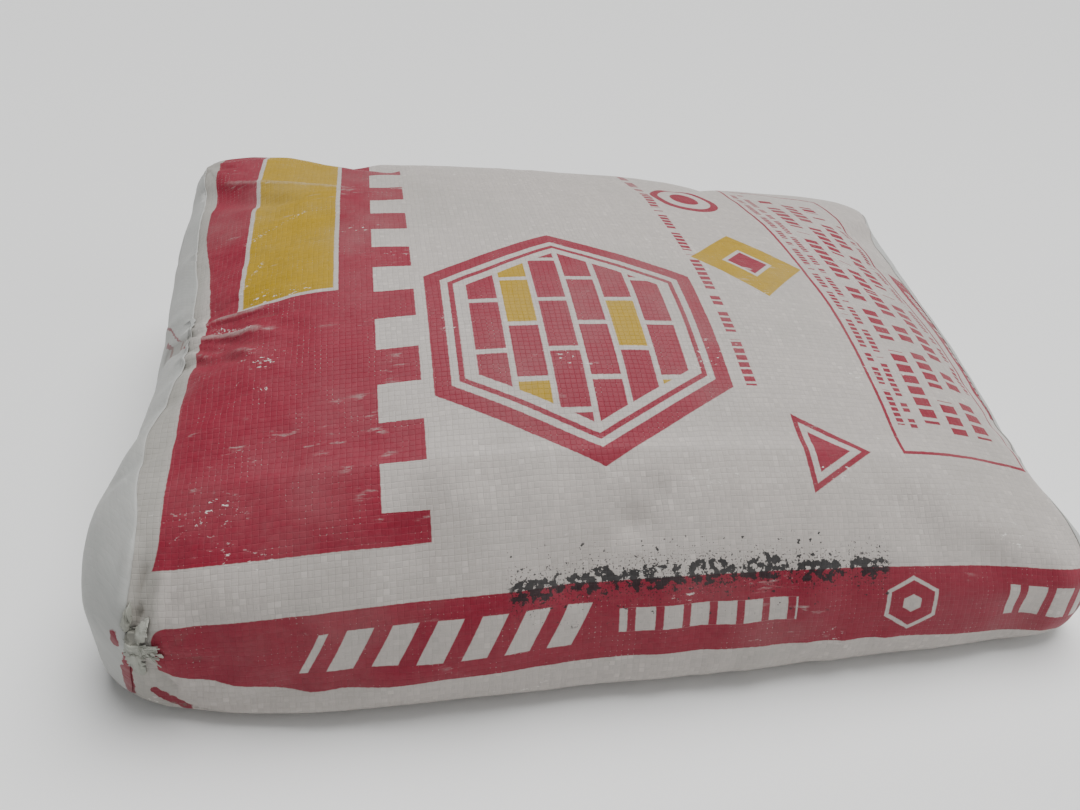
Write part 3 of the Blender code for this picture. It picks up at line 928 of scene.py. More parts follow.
def chance(tree, vector):
    """One random number from 0 to 1 for each whole-numbered vector."""
    step = tree.nodes.new("ShaderNodeTexWhiteNoise")
    step.noise_dimensions = "2D"
    feed(tree, vector, step.inputs["Vector"])
    return step.outputs[0]


def new_group(name, inputs, outputs):
    """An empty node group with named sockets. It gives back its tree, what comes in and what goes out."""
    tree = bpy.data.node_groups.new(name, "ShaderNodeTree")
    kinds = {float: "NodeSocketFloat", tuple: "NodeSocketVector"}
    for title, start in inputs.items():
        tree.interface.new_socket(title, in_out="INPUT", socket_type=kinds[type(start)]).default_value = start
    for title in outputs:
        tree.interface.new_socket(title, in_out="OUTPUT", socket_type="NodeSocketFloat")
    return tree, tree.nodes.new("NodeGroupInput").outputs, tree.nodes.new("NodeGroupOutput").inputs


def use_group(tree, group, **values):
    """Place a group in a material. It gives back the group's outputs."""
    step = tree.nodes.new("ShaderNodeGroup")
    step.node_tree = group
    for name, value in values.items():
        feed(tree, value, step.inputs[name])
    return step.outputs


def new_material(name):
    """An empty material, its node tree and its shader."""
    made = bpy.data.materials.new(name)
    made.use_nodes = True
    return made, made.node_tree, made.node_tree.nodes["Principled BSDF"]


def bumped(tree, shader, height, distance, strength=1.0):
    """Let a height tilt the surface's normal. The distance is how high a height of 1 stands, in metres."""
    bump = tree.nodes.new("ShaderNodeBump")
    bump.inputs["Strength"].default_value = strength
    bump.inputs["Distance"].default_value = distance
    feed(tree, height, bump.inputs["Height"])
    feed(tree, bump.outputs[0], shader.inputs["Normal"])


def kept_value(tree, name):
    """What each point of the mesh keeps under a name."""
    step = tree.nodes.new("ShaderNodeAttribute")
    step.attribute_name = name
    return step.outputs


# %% [markdown]
# ## The weave
# The cloth is woven from flat plastic tapes three millimetres wide, one over and one under. Modelling
# each tape would need millions of faces, so the weave is drawn instead: a chequerboard of tape crossings
# tells which tape is on top. Each tape has its own shade, and the ink misses the pits between tapes.

# %% The weave
TAPE_WIDTH, TAPE_SWAY = 0.003, 0.0022


def weave_group():
    """Crossings are numbered by whole steps of U and V, and odd sums have the lengthways tape on top."""
    sockets = {"Place": (0.0, 0.0, 0.0), "Tape width": TAPE_WIDTH}
    found = ("Shade", "Cell", "Fibre", "Height", "Gap", "Pit")
    tree, given, wanted = new_group("woven_tapes", sockets, found)
    sway = times(tree, minus(tree, cloudy(tree, given["Place"], 38.0), 0.5), TAPE_SWAY)
    swayed = vectors(tree, "ADD", given["Place"], together(tree, sway, sway))
    steps = vectors(tree, "DIVIDE", swayed, together(tree, given["Tape width"], given["Tape width"]))
    crossing = vectors(tree, "FLOOR", steps)
    from_middle = vectors(tree, "SUBTRACT", vectors(tree, "FRACTION", steps), (0.5, 0.5, 0.0))
    from_middle = vectors(tree, "ABSOLUTE", from_middle)
    column, row = parts_of(tree, crossing)
    across, along = parts_of(tree, from_middle)
    odd = math(tree, "FLOORED_MODULO", plus(tree, column, row), 2.0)
    even = minus(tree, 1.0, odd)
    tape = together(tree, times(tree, column, even), times(tree, row, odd))
    edge_of_tape = math(tree, "MAXIMUM", across, along)
    bow = plus(tree, times(tree, across, across), times(tree, along, along))
    luck = chance(tree, crossing)
    feed(tree, chance(tree, tape), wanted["Shade"])
    feed(tree, luck, wanted["Cell"])
    lengthways = cloudy(tree, vectors(tree, "MULTIPLY", swayed, (120.0, 1500.0, 1.0)), 1.0)
    crossways = cloudy(tree, vectors(tree, "MULTIPLY", swayed, (1500.0, 120.0, 1.0)), 1.0)
    turned = times(tree, minus(tree, crossways, lengthways), odd)
    feed(tree, plus(tree, lengthways, turned), wanted["Fibre"])
    feed(tree, minus(tree, rise(tree, edge_of_tape, 0.5, 0.42), bow), wanted["Height"])
    gap = times(tree, rise(tree, edge_of_tape, 0.43, 0.5), rise(tree, luck, 0.50, 0.98))
    feed(tree, gap, wanted["Gap"])
    corner = math(tree, "MINIMUM", across, along)
    pit = times(tree, rise(tree, corner, 0.34, 0.43), rise(tree, luck, 0.62, 1.0))
    feed(tree, pit, wanted["Pit"])
    return tree


weave = weave_group()
print("weave nodes:", len(weave.nodes))

# %% [markdown]
# ## The print
# Flexographic print lies on the cloth in two flat inks, red and yellow. The design is a plain builder's
# one: a red field at the head that ends in brick courses, a hexagon filled with bricks, a few round and
# angled marks, a framed panel of bars and a stripe along the side. It could be painted as a picture. It is
# drawn with signed distances instead, numbers that are below 0 inside a shape, because they stay sharp at
# any size and join, cut and outline with single sums.


# %% Shapes to print
def box_mark(tree, place, low, high):
    """The larger of how far a point is past the box's half width and past its half height."""
    low, high = np.array(low), np.array(high)
    away = vectors(tree, "ABSOLUTE", vectors(tree, "SUBTRACT", place, (*(low + high) / 2.0, 0.0)))
    return math(tree, "MAXIMUM", *parts_of(tree, vectors(tree, "SUBTRACT", away, (*(high - low) / 2.0, 0.0))))


def round_mark(tree, place, centre, radius):
    """Distance from the centre, less the radius."""
    away = vectors(tree, "SUBTRACT", place, (*centre, 0.0))
    return minus(tree, vectors(tree, "LENGTH", away), radius)


def sided_mark(tree, place, centre, radius, sides, turn=0.0):
    """A regular shape: the furthest that a point lies out past any of its sides."""
    away = vectors(tree, "SUBTRACT", place, (*centre, 0.0))
    mark = None
    for angle in np.radians(turn) + np.arange(sides) * 2.0 * np.pi / sides:
        out = vectors(tree, "DOT_PRODUCT", away, (np.cos(angle), np.sin(angle), 0.0))
        mark = out if mark is None else math(tree, "MAXIMUM", mark, out)
    return minus(tree, mark, radius)


def brick_marks(tree, place, brick, joint):
    """Running bond: every other course is moved by half a brick. The mark, and each brick's number."""
    x, y = parts_of(tree, place)
    courses = math(tree, "DIVIDE", y, brick[1])
    course = math(tree, "FLOOR", courses)
    half = times(tree, math(tree, "FLOORED_MODULO", course, 2.0), 0.5)
    slid = plus(tree, math(tree, "DIVIDE", x, brick[0]), half)
    sides = []
    for steps, size, gap in ((slid, brick[0], joint[0]), (courses, brick[1], joint[1])):
        middle = math(tree, "ABSOLUTE", minus(tree, math(tree, "FRACT", steps), 0.5))
        sides.append(minus(tree, times(tree, middle, size), (size - gap) / 2.0))
    return math(tree, "MAXIMUM", *sides), together(tree, math(tree, "FLOOR", slid), course)


def repeated(tree, value, period, gap):
    """Below 0 in blocks that repeat along a value, with a gap between each and the next."""
    part = math(tree, "FRACT", math(tree, "DIVIDE", value, period))
    middle = math(tree, "ABSOLUTE", minus(tree, part, 0.5))
    return minus(tree, times(tree, middle, period), (period - gap) / 2.0)


def rounded_box(tree, place, low, high, radius):
    """A box whose corners are arcs: the distance to a box that is smaller by the radius, less the radius."""
    low, high = np.array(low), np.array(high)
    away = vectors(tree, "ABSOLUTE", vectors(tree, "SUBTRACT", place, (*(low + high) / 2.0, 0.0)))
    past = vectors(tree, "SUBTRACT", away, (*((high - low) / 2.0 - radius), 0.0))
    outside = vectors(tree, "LENGTH", vectors(tree, "MAXIMUM", past, (0.0, 0.0, 0.0)))
    inside = math(tree, "MINIMUM", math(tree, "MAXIMUM", *parts_of(tree, past)), 0.0)
    return minus(tree, plus(tree, outside, inside), radius)


def either(tree, *marks):
    """The marks joined: the lowest of their distances."""
    mark = marks[0]
    for other in marks[1:]:
        mark = math(tree, "MINIMUM", mark, other)
    return mark


def both(tree, *marks):
    """What lies in all of the marks: the highest of their distances."""
    mark = marks[0]
    for other in marks[1:]:
        mark = math(tree, "MAXIMUM", mark, other)
    return mark


def but_not(tree, mark, cut):
    """A mark with another cut out of it."""
    return math(tree, "MAXIMUM", mark, times(tree, cut, -1.0))


def outline(tree, mark, middle, width):
    """A line of a width that runs at a distance inside a mark's edge."""
    return minus(tree, math(tree, "ABSOLUTE", plus(tree, mark, middle)), width / 2.0)


# %% [markdown]
# The head's red field comes first. Its foot side steps like the end of a brick wall, and a broad yellow
# band lies in it with a thin line of bare cloth between the two inks.

# %% The head field
FIELD_LOW, FIELD_HIGH = (-0.300, -0.2030), (-0.120, 0.2115)
FIELD_END, TOOTH_DEPTH, COURSE_HEIGHT, LAST_TOOTH = -0.158, 0.022, 0.0235, 0.150
FIELD_STARTS = (
    (-0.205, -0.2640), (-0.178, -0.2575), (-0.134, -0.2563), (-0.106, -0.2560), (-0.067, -0.2552),
    (-0.042, -0.2520), (0.003, -0.2560), (0.102, -0.2648), (0.230, -0.2650),
)
BAND_LOW, BAND_HIGH = (-0.232, -0.040), (-0.180, 0.240)
BARE_LINE = 0.0026


def curve_through(tree, value, points):
    """A smooth curve through pairs of a value and its answer, fitted into the curve node's unit square."""
    points = np.array(points)
    low, size = points.min(axis=0), np.ptp(points, axis=0)
    step = tree.nodes.new("ShaderNodeFloatCurve")
    curve = step.mapping.curves[0]
    unit = ((points - low) / size).tolist()
    curve.points[0].location, curve.points[1].location = unit[0], unit[-1]
    for spot in unit[1:-1]:
        curve.points.new(*spot)
    step.mapping.update()
    feed(tree, math(tree, "DIVIDE", minus(tree, value, low[0]), size[0]), step.inputs["Value"])
    return math(tree, "MULTIPLY_ADD", step.outputs[0], size[1], low[1])


def head_field(tree, place, wander):
    """The red field and the yellow band, each as a mark."""
    u, v = parts_of(tree, place)
    course = math(tree, "FLOOR", math(tree, "DIVIDE", v, COURSE_HEIGHT))
    tooth = times(tree, math(tree, "FLOORED_MODULO", course, 2.0), TOOTH_DEPTH)
    tooth = times(tree, tooth, rise(tree, v, LAST_TOOTH, LAST_TOOTH - 0.0002))
    steps = minus(tree, minus(tree, u, FIELD_END), tooth)
    start = math(tree, "MULTIPLY_ADD", wander, 0.003, curve_through(tree, v, FIELD_STARTS))
    start = minus(tree, start, u)
    field = both(tree, box_mark(tree, place, FIELD_LOW, FIELD_HIGH), steps, start)
    band = box_mark(tree, place, BAND_LOW, BAND_HIGH)
    return but_not(tree, field, minus(tree, band, BARE_LINE)), both(tree, band, start)


# %% [markdown]
# The large emblem is a hexagon: a broad ring, a thin ring and a panel of bricks, some of them yellow.

# %% The hexagon of bricks
HEXAGON_CENTRE, HEXAGON_RADIUS = (-0.050, -0.082), 0.080
BRICK, BRICK_JOINT = (0.040, 0.0195), (0.0032, 0.0032)
YELLOW_SHARE, PANEL_INSET = 0.24, 0.021
HEXAGON_RINGS = ((0.0045, 0.009), (0.0145, 0.003))


def brick_hexagon(tree, place):
    """Rings at set distances inside a hexagon's edge, and bricks in what is left. Red mark, yellow mark."""
    edge = sided_mark(tree, place, HEXAGON_CENTRE, HEXAGON_RADIUS, 6)
    turned = together(tree, *parts_of(tree, place)[::-1])
    turned = vectors(tree, "SUBTRACT", turned, (*HEXAGON_CENTRE[::-1], 0.0))
    bricks, number = brick_marks(tree, turned, BRICK, BRICK_JOINT)
    inside = both(tree, bricks, plus(tree, edge, PANEL_INSET))
    is_red = minus(tree, YELLOW_SHARE, chance(tree, number))
    rings = either(tree, *(outline(tree, edge, middle, width) for middle, width in HEXAGON_RINGS))
    is_yellow = times(tree, is_red, -1.0)
    return either(tree, rings, both(tree, inside, is_red)), both(tree, inside, is_yellow)


# %% [markdown]
# Next to it stands a column of small marks, then a framed panel with rows of plain blocks, and a solid
# label with pale blocks. Each line of the table of rows holds a low corner, a high corner, a block's height
# and the gap between two rows. Blocks are spaced by shares of that height, and each row slips sideways.

# %% Small marks and the panel
RING_CENTRE, DIAMOND_CENTRE, TRIANGLE_CENTRE = (0.072, 0.098), (0.080, -0.010), (0.072, -0.168)
RING_RADIUS, DIAMOND_RADIUS, TRIANGLE_RADIUS = 0.026, 0.028, 0.012
RING_LINE, TRIANGLE_LINE, FRAME_LINE = 0.006, 0.003, 0.0022
RING_CORE, DIAMOND_CORE, TRIANGLE_CORE = 0.015, 0.018, 0.005
FRAME_LOW, FRAME_HIGH = (0.120, -0.168), (0.212, 0.160)
LABEL_LOW, LABEL_HIGH = (0.2225, -0.120), (0.2400, 0.040)
LABEL_BLOCKS = (np.array(LABEL_LOW) + 0.0055, np.array(LABEL_HIGH) - 0.005, 0.0075, 0.003)
BLOCK_ROWS = (
    ((0.0380, -0.130), (0.0452, 0.172), 0.0065, 0.003),
    ((0.1265, -0.150), (0.1405, 0.146), 0.0048, 0.0036),
    ((0.1470, -0.150), (0.1965, 0.132), 0.0110, 0.0072),
    ((0.2020, -0.110), (0.2074, 0.100), 0.0048, 0.003),
    ((0.2340, -0.202), (0.2640, -0.148), 0.0115, 0.0065),
)
ROW_SLIP, BLOCK_PERIOD, BLOCK_GAP, WIDE_GAP, WIDE_GAP_PERIODS = 0.0371, 0.78, 0.22, 0.95, (6.1, 9.7)


def block_rows(tree, place, low, high, height, gap):
    """Rows of small blocks across the bag, in groups of unequal length because two wide gaps repeat apart."""
    u, v = parts_of(tree, vectors(tree, "SUBTRACT", place, (*low, 0.0)))
    row = math(tree, "FLOOR", math(tree, "DIVIDE", u, height + gap))
    slid = plus(tree, v, times(tree, row, ROW_SLIP))
    rows = repeated(tree, plus(tree, u, gap / 2.0), height + gap, gap)
    blocks = repeated(tree, slid, height * BLOCK_PERIOD, height * BLOCK_GAP)
    wide_gaps = [repeated(tree, slid, height * period, height * WIDE_GAP) for period in WIDE_GAP_PERIODS]
    return both(tree, rows, blocks, *wide_gaps, box_mark(tree, place, low, high))


def small_marks(tree, place):
    """A ring with a dot, a diamond, a triangle, the rows of blocks, the frame and the label. Red, yellow."""
    ring = round_mark(tree, place, RING_CENTRE, RING_RADIUS)
    target = either(tree, outline(tree, ring, RING_LINE / 2.0, RING_LINE), plus(tree, ring, RING_CORE))
    diamond = sided_mark(tree, place, DIAMOND_CENTRE, DIAMOND_RADIUS, 4, 45.0)
    core = plus(tree, diamond, DIAMOND_CORE)
    triangle = sided_mark(tree, place, TRIANGLE_CENTRE, TRIANGLE_RADIUS, 3, 180.0)
    wedge = either(tree, outline(tree, triangle, 0.0, TRIANGLE_LINE), plus(tree, triangle, TRIANGLE_CORE))
    panel = box_mark(tree, place, FRAME_LOW, FRAME_HIGH)
    rows = either(tree, *(block_rows(tree, place, *row) for row in BLOCK_ROWS))
    frame_edge = outline(tree, panel, FRAME_LINE / 2.0, FRAME_LINE)
    pale = block_rows(tree, place, *LABEL_BLOCKS)
    label = but_not(tree, box_mark(tree, place, LABEL_LOW, LABEL_HIGH), pale)
    red = either(tree, target, core, wedge, rows, frame_edge, label)
    return red, but_not(tree, diamond, minus(tree, core, BARE_LINE))


# %% [markdown]
# A red stripe runs along each side of the bag. The near one carries pale slanted bars, blocks and an
# outlined hexagon, large enough to tell the bag by from across a yard.

# %% The side stripes
STRIPE_LOW, STRIPE_HIGH = -0.2740, -0.2300
STRIPE_START, STRIPE_END, STRIPE_CORNER = -0.2625, 0.300, 0.008
CUT_CORNER, CUT_WAYS = (-0.2560, -0.2600), ((-0.50, -0.87), (-0.22, -0.975))
SLANT, RAISED = 0.45, 0.2590
BIG_BARS = ((0.0205, 0.100), (0.0085, 0.0), (-0.080, -0.2635), (0.050, -0.2405))
BLOCKS = ((0.0140, 0.0140), (0.0042, 0.0), (-0.048, -0.2590), (0.045, -0.2450))
LAST_BARS = ((0.0170, 0.100), (0.0050, 0.0), (0.170, -0.2630), (0.221, -0.2410))
NUT_CENTRE, NUT_RADIUS, NUT_LINE, NUT_CORE = (0.110, -0.2520), 0.0135, 0.0022, 0.0085


def bricks_in_box(tree, counted, place, brick, joint, low, high):
    """Bricks of a given size and joint that lie in a box. They are counted by a place of their own."""
    bricks, _ = brick_marks(tree, counted, brick, joint)
    return both(tree, bricks, box_mark(tree, place, low, high))


def side_stripes(tree, place):
    """Near and far stripe, less the pale marks in the near one."""
    near = rounded_box(tree, place, (STRIPE_START, STRIPE_LOW), (STRIPE_END, STRIPE_HIGH), STRIPE_CORNER)
    from_cut = vectors(tree, "SUBTRACT", place, (*CUT_CORNER, 0.0))
    cuts_off = [vectors(tree, "DOT_PRODUCT", from_cut, (*way, 0.0)) for way in CUT_WAYS]
    near = both(tree, near, *cuts_off)
    far = rounded_box(tree, place, (STRIPE_START, -STRIPE_HIGH), (STRIPE_END, -STRIPE_LOW), STRIPE_CORNER)
    u, v = parts_of(tree, place)
    slanted = together(tree, minus(tree, u, times(tree, v, SLANT)), v)
    big = bricks_in_box(tree, slanted, slanted, *BIG_BARS)
    blocks = bricks_in_box(tree, vectors(tree, "ADD", place, (0.0, RAISED, 0.0)), place, *BLOCKS)
    nut = sided_mark(tree, place, NUT_CENTRE, NUT_RADIUS, 6)
    nut = either(tree, outline(tree, nut, 0.0, NUT_LINE), plus(tree, nut, NUT_CORE))
    last = bricks_in_box(tree, place, place, *LAST_BARS)
    return either(tree, but_not(tree, near, either(tree, big, blocks, nut, last)), far)


# %% [markdown]
# Black ink was sprayed over the stripe's edge and smeared, which leaves an uneven row of blots. Soft ovals
# of random height and width run into each other, blobs of noise fill them only in part, and a mist of fine
# drops lies round them.

# %% The sprayed marks
SPRAY_START, SPRAY_END, BLOT = -0.1035, 0.0985, 0.0290
SPRAY_MIDDLE, SPRAY_HALF_HEIGHT = -0.2295, 0.0090


def sprayed_marks(tree, place):
    """Where blobs of noise are dense enough: more count near an oval's middle, and ovals repeat along u."""
    bent = times(tree, minus(tree, cloudy(tree, place, 60.0), 0.5), 0.012)
    u, v = parts_of(tree, place)
    steps = math(tree, "DIVIDE", plus(tree, minus(tree, u, SPRAY_START), bent), BLOT)
    number = math(tree, "FLOOR", steps)
    height, width = [chance(tree, together(tree, number, seed)) for seed in (1.0, 2.0)]
    across = minus(tree, math(tree, "FRACT", steps), 0.5)
    across = math(tree, "DIVIDE", across, math(tree, "MULTIPLY_ADD", width, 0.35, 0.48))
    up = minus(tree, v, math(tree, "MULTIPLY_ADD", height, 0.0040, SPRAY_MIDDLE - 0.0020))
    oval = vectors(tree, "LENGTH", together(tree, across, math(tree, "DIVIDE", up, SPRAY_HALF_HEIGHT)))
    coarse, fine = cloudy(tree, place, 235.0, 3.0, 0.6), cloudy(tree, place, 900.0, 1.0)
    blobs = math(tree, "MULTIPLY_ADD", rise(tree, oval, 1.15, 0.45), 0.20, coarse)
    drops = math(tree, "MULTIPLY_ADD", rise(tree, oval, 1.9, 0.8), 0.12, fine)
    marks = math(tree, "MAXIMUM", rise(tree, blobs, 0.655, 0.675), rise(tree, drops, 0.73, 0.75, 0.9))
    reach = rise(tree, box_mark(tree, place, (SPRAY_START, -0.255), (SPRAY_END, -0.208)), 0.001, -0.004)
    return times(tree, marks, reach)


# %% [markdown]
# All marks of one ink are joined into one. Ink spreads a little on rough tape, so noise moves every edge by
# up to a third of a millimetre, and a short rise makes each edge soft.

# %% The whole print
EDGE_SOFTNESS, PRINT_WOBBLE = 0.0003, 0.0006


def print_group():
    """Red, yellow and black as masks from 0 to 1 at a place on the sheet. Noise moves every edge a little."""
    tree, given, wanted = new_group("bag_print", {"Place": (0.0, 0.0, 0.0)}, ("Red", "Yellow", "Black"))
    wander = minus(tree, cloudy(tree, given["Place"], 22.0, 2.0), 0.5)
    rough = minus(tree, cloudy(tree, given["Place"], 420.0, 1.0), 0.5)
    rough = times(tree, rough, PRINT_WOBBLE)
    place = vectors(tree, "ADD", given["Place"], together(tree, rough, rough))
    reds, yellows = zip(head_field(tree, place, wander), brick_hexagon(tree, place), small_marks(tree, place))
    red = either(tree, *reds, side_stripes(tree, place))
    for mark, socket in ((red, "Red"), (either(tree, *yellows), "Yellow")):
        feed(tree, rise(tree, mark, EDGE_SOFTNESS, -EDGE_SOFTNESS), wanted[socket])
    feed(tree, sprayed_marks(tree, given["Place"]), wanted["Black"])
    return tree


bag_print = print_group()
print("print nodes:", len(bag_print.nodes))

# %% [markdown]
# ## Dust, rubbing and dirt
# Fine cement lies on everything, in clouds and in streaks along the bag where it was dragged. The same
# mask serves the sack, its patches and the valve, so it is a group that each of them uses.


# %% Dust and dirt
def wear_group():
    """Soft clouds of dust, long thin streaks where the print is rubbed off, and small dark specks."""
    found = ("Dust", "Rubbed", "Scuffs", "Specks", "Stain")
    tree, given, wanted = new_group("dust_and_wear", {"Place": (0.0, 0.0, 0.0)}, found)
    place = given["Place"]
    cloud = cloudy(tree, place, 14.0, 6.0, 0.62)
    grains = cloudy(tree, place, 260.0, 3.0, 0.7)
    mixed = plus(tree, times(tree, cloud, 0.62), times(tree, grains, 0.38))
    feed(tree, rise(tree, mixed, 0.36, 0.70), wanted["Dust"])
    long_way = cloudy(tree, vectors(tree, "MULTIPLY", place, (50.0, 190.0, 100.0)), 1.0, 5.0, 0.65)
    patches = cloudy(tree, place, 17.0, 3.0)
    streaks = times(tree, rise(tree, long_way, 0.57, 0.70), rise(tree, patches, 0.53, 0.68))
    feed(tree, streaks, wanted["Rubbed"])
    flecks = cloudy(tree, vectors(tree, "MULTIPLY", place, (200.0, 420.0, 300.0)), 1.0, 3.0, 0.7)
    moved = vectors(tree, "ADD", place, (0.065, 0.095, 0.0))
    spots = cloudy(tree, vectors(tree, "MULTIPLY", moved, (16.0, 30.0, 20.0)), 1.0, 2.0)
    scuffs = times(tree, rise(tree, flecks, 0.60, 0.66), rise(tree, spots, 0.60, 0.70))
    feed(tree, scuffs, wanted["Scuffs"])
    feed(tree, rise(tree, cloudy(tree, place, 520.0, 2.0, 0.75), 0.715, 0.775), wanted["Specks"])
    feed(tree, rise(tree, cloudy(tree, place, 7.0, 5.0, 0.6), 0.45, 0.72), wanted["Stain"])
    return tree


wear = wear_group()
print("wear nodes:", len(wear.nodes))

# %% [markdown]
# ## The cloth of the sack
# The colours go on in the order in which they came about: bare greige tape, ink, rubbed places, stains,
# dust, dirt and painted shade. Each step takes a colour and hands back the next one. The first is the cloth
# itself, whose tapes differ in shade, carry painted glints here and there, and have dark gaps between them.

# %% Colours and bare cloth
GREIGE, PALE_GREIGE = (0.46, 0.42, 0.39), (0.445, 0.45, 0.43)
RED_INK, YELLOW_INK, BLACK_INK = (0.215, 0.010, 0.027), (0.34, 0.210, 0.002), (0.008, 0.008, 0.010)
STAIN, DUST, DIRT = (0.30, 0.285, 0.25), (0.60, 0.585, 0.56), (0.10, 0.095, 0.085)
# The groove colour is painted shade and dirt for the folds' grooves and dark crease lines; the band colour is
# dirt and painted shade for the head's turned edge.
GROOVE_SHADE_AND_DIRT, BAND_SHADE_AND_DIRT, SCUFF = (0.16, 0.145, 0.12), (0.34, 0.33, 0.295), (0.75, 0.72, 0.68)


def sheet_place(tree):
    """The place on the flat sheet, in metres, from the piece's own map."""
    step = tree.nodes.new("ShaderNodeUVMap")
    step.uv_map = "sheet"
    return step.outputs[0]


def tinted(colour, share):
    """A colour made darker, or lighter where the share is above 1."""
    return tuple(np.array(colour) * share)


def bare_cloth(tree, place, tapes, bare, woven):
    """Fine differences between tapes, then painted glints on some tapes, then gaps. The colour, and how the
    tapes differ.
    """
    mottle = times(tree, tapes["Shade"], 0.3 * woven)
    mottle = math(tree, "MULTIPLY_ADD", tapes["Cell"], 0.2 * woven, mottle)
    mottle = math(tree, "MULTIPLY_ADD", rise(tree, tapes["Fibre"], 0.3, 0.7), 0.5 * woven, mottle)
    colour = blend_colours(tree, mottle, tinted(bare, 0.90), tinted(bare, 1.18))
    uneven = rise(tree, cloudy(tree, place, 30.0, 3.0), 0.36, 0.66)
    # A few tapes get painted glints: their colour is made much lighter.
    tape_glints = times(tree, rise(tree, tapes["Cell"], 0.80, 1.0, 0.38 * woven), uneven)
    colour = blend_colours(tree, tape_glints, colour, tinted(bare, 1.5))
    gaps = times(tree, tapes["Gap"], times(tree, uneven, 0.55 * woven))
    return blend_colours(tree, gaps, colour, tinted(bare, 0.5)), mottle


# %% [markdown]
# Dirt and painted shade on the head's turned edge go under the inks. Ink is missing in the pits between
# tapes, in long rubbed streaks and on the ridges of the folds, where the bare cloth also paints a highlight,
# and pale scuffs cross it all. Printed film holds less dirt than bare tape, so how much is printed is handed
# back as well.

# %% Ink and what takes it off
# The head's turned edge darkens over this span: dirt and painted shade.
BAND_DARKENS_FROM, BAND_DARKEST_AT = -0.252, -0.262
INK_BRIGHTER, INK_PALER, INK_IN_BLOTS = 1.35, 0.004, 0.93
RUBBED_OFF, CLEANER_ON_INK = 0.85, 0.6
INKS = (("Yellow", YELLOW_INK), ("Red", RED_INK), ("Black", BLACK_INK))


def inked_cloth(tree, place, tapes, worn, ridges, mottle, colour):
    """Band of dirt and painted shade, inks and scuffs. The colour, and the share of the dirt that stays on:
    less on print.
    """
    # Dirt and painted shade darken the head's turned edge.
    head_band_shade_and_dirt = rise(tree, parts_of(tree, place)[0], BAND_DARKENS_FROM, BAND_DARKEST_AT)
    head_band_shade_and_dirt = times(tree, head_band_shade_and_dirt, math(tree, "MULTIPLY_ADD", worn["Stain"], 0.5, 0.62))
    colour = blend_colours(tree, head_band_shade_and_dirt, colour, BAND_SHADE_AND_DIRT)
    marks = use_group(tree, bag_print, Place=place)
    # Rubbed streaks take the ink off, and so do fold ridges, whose pale bare cloth is also a painted
    # highlight.
    rubbed = math(tree, "MAXIMUM", times(tree, worn["Rubbed"], RUBBED_OFF), ridges)
    thin = rise(tree, cloudy(tree, place, 55.0, 3.0), 0.42, 0.62, 0.6)
    pits = times(tree, rise(tree, tapes["Pit"], 0.2, 0.8), thin)
    held = minus(tree, 1.0, math(tree, "MAXIMUM", pits, rubbed))
    shade = times(tree, mottle, 0.8)
    for mask, wet in INKS:
        inked = blend_colours(tree, shade, wet, tuple(np.array(wet) * INK_BRIGHTER + INK_PALER))
        strength = times(tree, marks[mask], held if mask != "Black" else INK_IN_BLOTS)
        colour = blend_colours(tree, strength, colour, inked)
    colour = blend_colours(tree, worn["Scuffs"], colour, SCUFF)
    printed = math(tree, "MAXIMUM", math(tree, "MAXIMUM", marks["Yellow"], marks["Red"]), marks["Black"])
    return colour, math(tree, "MULTIPLY_ADD", printed, -CLEANER_ON_INK, 1.0)


# %% [markdown]
# Where the sheet is folded in at the pinch and at the valve, slivers of its printed inner flaps peep out.
# They don't follow the print's layout, so they are placed in space: short lines with a half width. Dirt
# beside the patch, dark lines of painted shade and dirt along the creases, and pale scratches where the bag
# was dragged, are placed in the same way.

# %% Slivers, dirt, painted shade and scratches
SLIVERS = (
    ((-0.2790, -0.0080, 0.1030), (-0.2725, -0.0239, 0.1095), 0.0008),
    ((-0.2725, -0.0239, 0.1095), (-0.2673, -0.0380, 0.1126), 0.0008),
    ((-0.2673, -0.0380, 0.1126), (-0.2588, -0.0542, 0.1156), 0.0007),
    ((-0.2757, -0.0290, 0.1022), (-0.2710, -0.0440, 0.1068), 0.0021),
    ((-0.2728, -0.1955, 0.0515), (-0.2726, -0.1972, 0.0470), 0.0018),
    ((-0.2698, -0.2001, 0.0408), (-0.2712, -0.1992, 0.0313), 0.0013),
    ((-0.2712, -0.1992, 0.0313), (-0.2728, -0.1976, 0.0130), 0.0027),
    ((-0.2600, -0.2046, 0.0192), (-0.2466, -0.2069, 0.0101), 0.0024),
)
SHADE_AND_SMUDGES = (
    # Dark lines: dirt beside the patch, and painted shade with dirt along the creases of the near side.
    ((-0.2725, 0.1600, 0.1370), (-0.2700, 0.1500, 0.1378), 0.0012),
    ((-0.2660, 0.1520, 0.1390), (-0.2610, 0.1370, 0.1390), 0.0007),
    ((-0.2440, -0.0142, 0.1270), (-0.2582, -0.0142, 0.1225), 0.0005),
    ((-0.2420, -0.2075, 0.0640), (-0.1500, -0.2140, 0.0680), 0.0004),
    ((-0.2592, -0.2049, 0.0130), (-0.2129, -0.2137, 0.0070), 0.0006),
)
SCRATCHES = (
    ((-0.2481, -0.1748, 0.0830), (-0.2319, -0.1688, 0.0900), 0.0004),
    ((-0.2270, -0.1050, 0.1155), (-0.2215, -0.1000, 0.1180), 0.0005),
    ((-0.2150, -0.0885, 0.1220), (-0.2085, -0.0890, 0.1235), 0.0014),
    ((-0.2135, -0.1070, 0.1180), (-0.2085, -0.1075, 0.1190), 0.0012),
    ((-0.2300, 0.0300, 0.1370), (-0.1950, 0.0600, 0.1440), 0.0016),
    ((-0.2288, -0.0293, 0.1310), (-0.2182, 0.0046, 0.1375), 0.0012),
    ((-0.2400, -0.0500, 0.1230), (-0.2200, -0.0600, 0.1265), 0.0032),
)


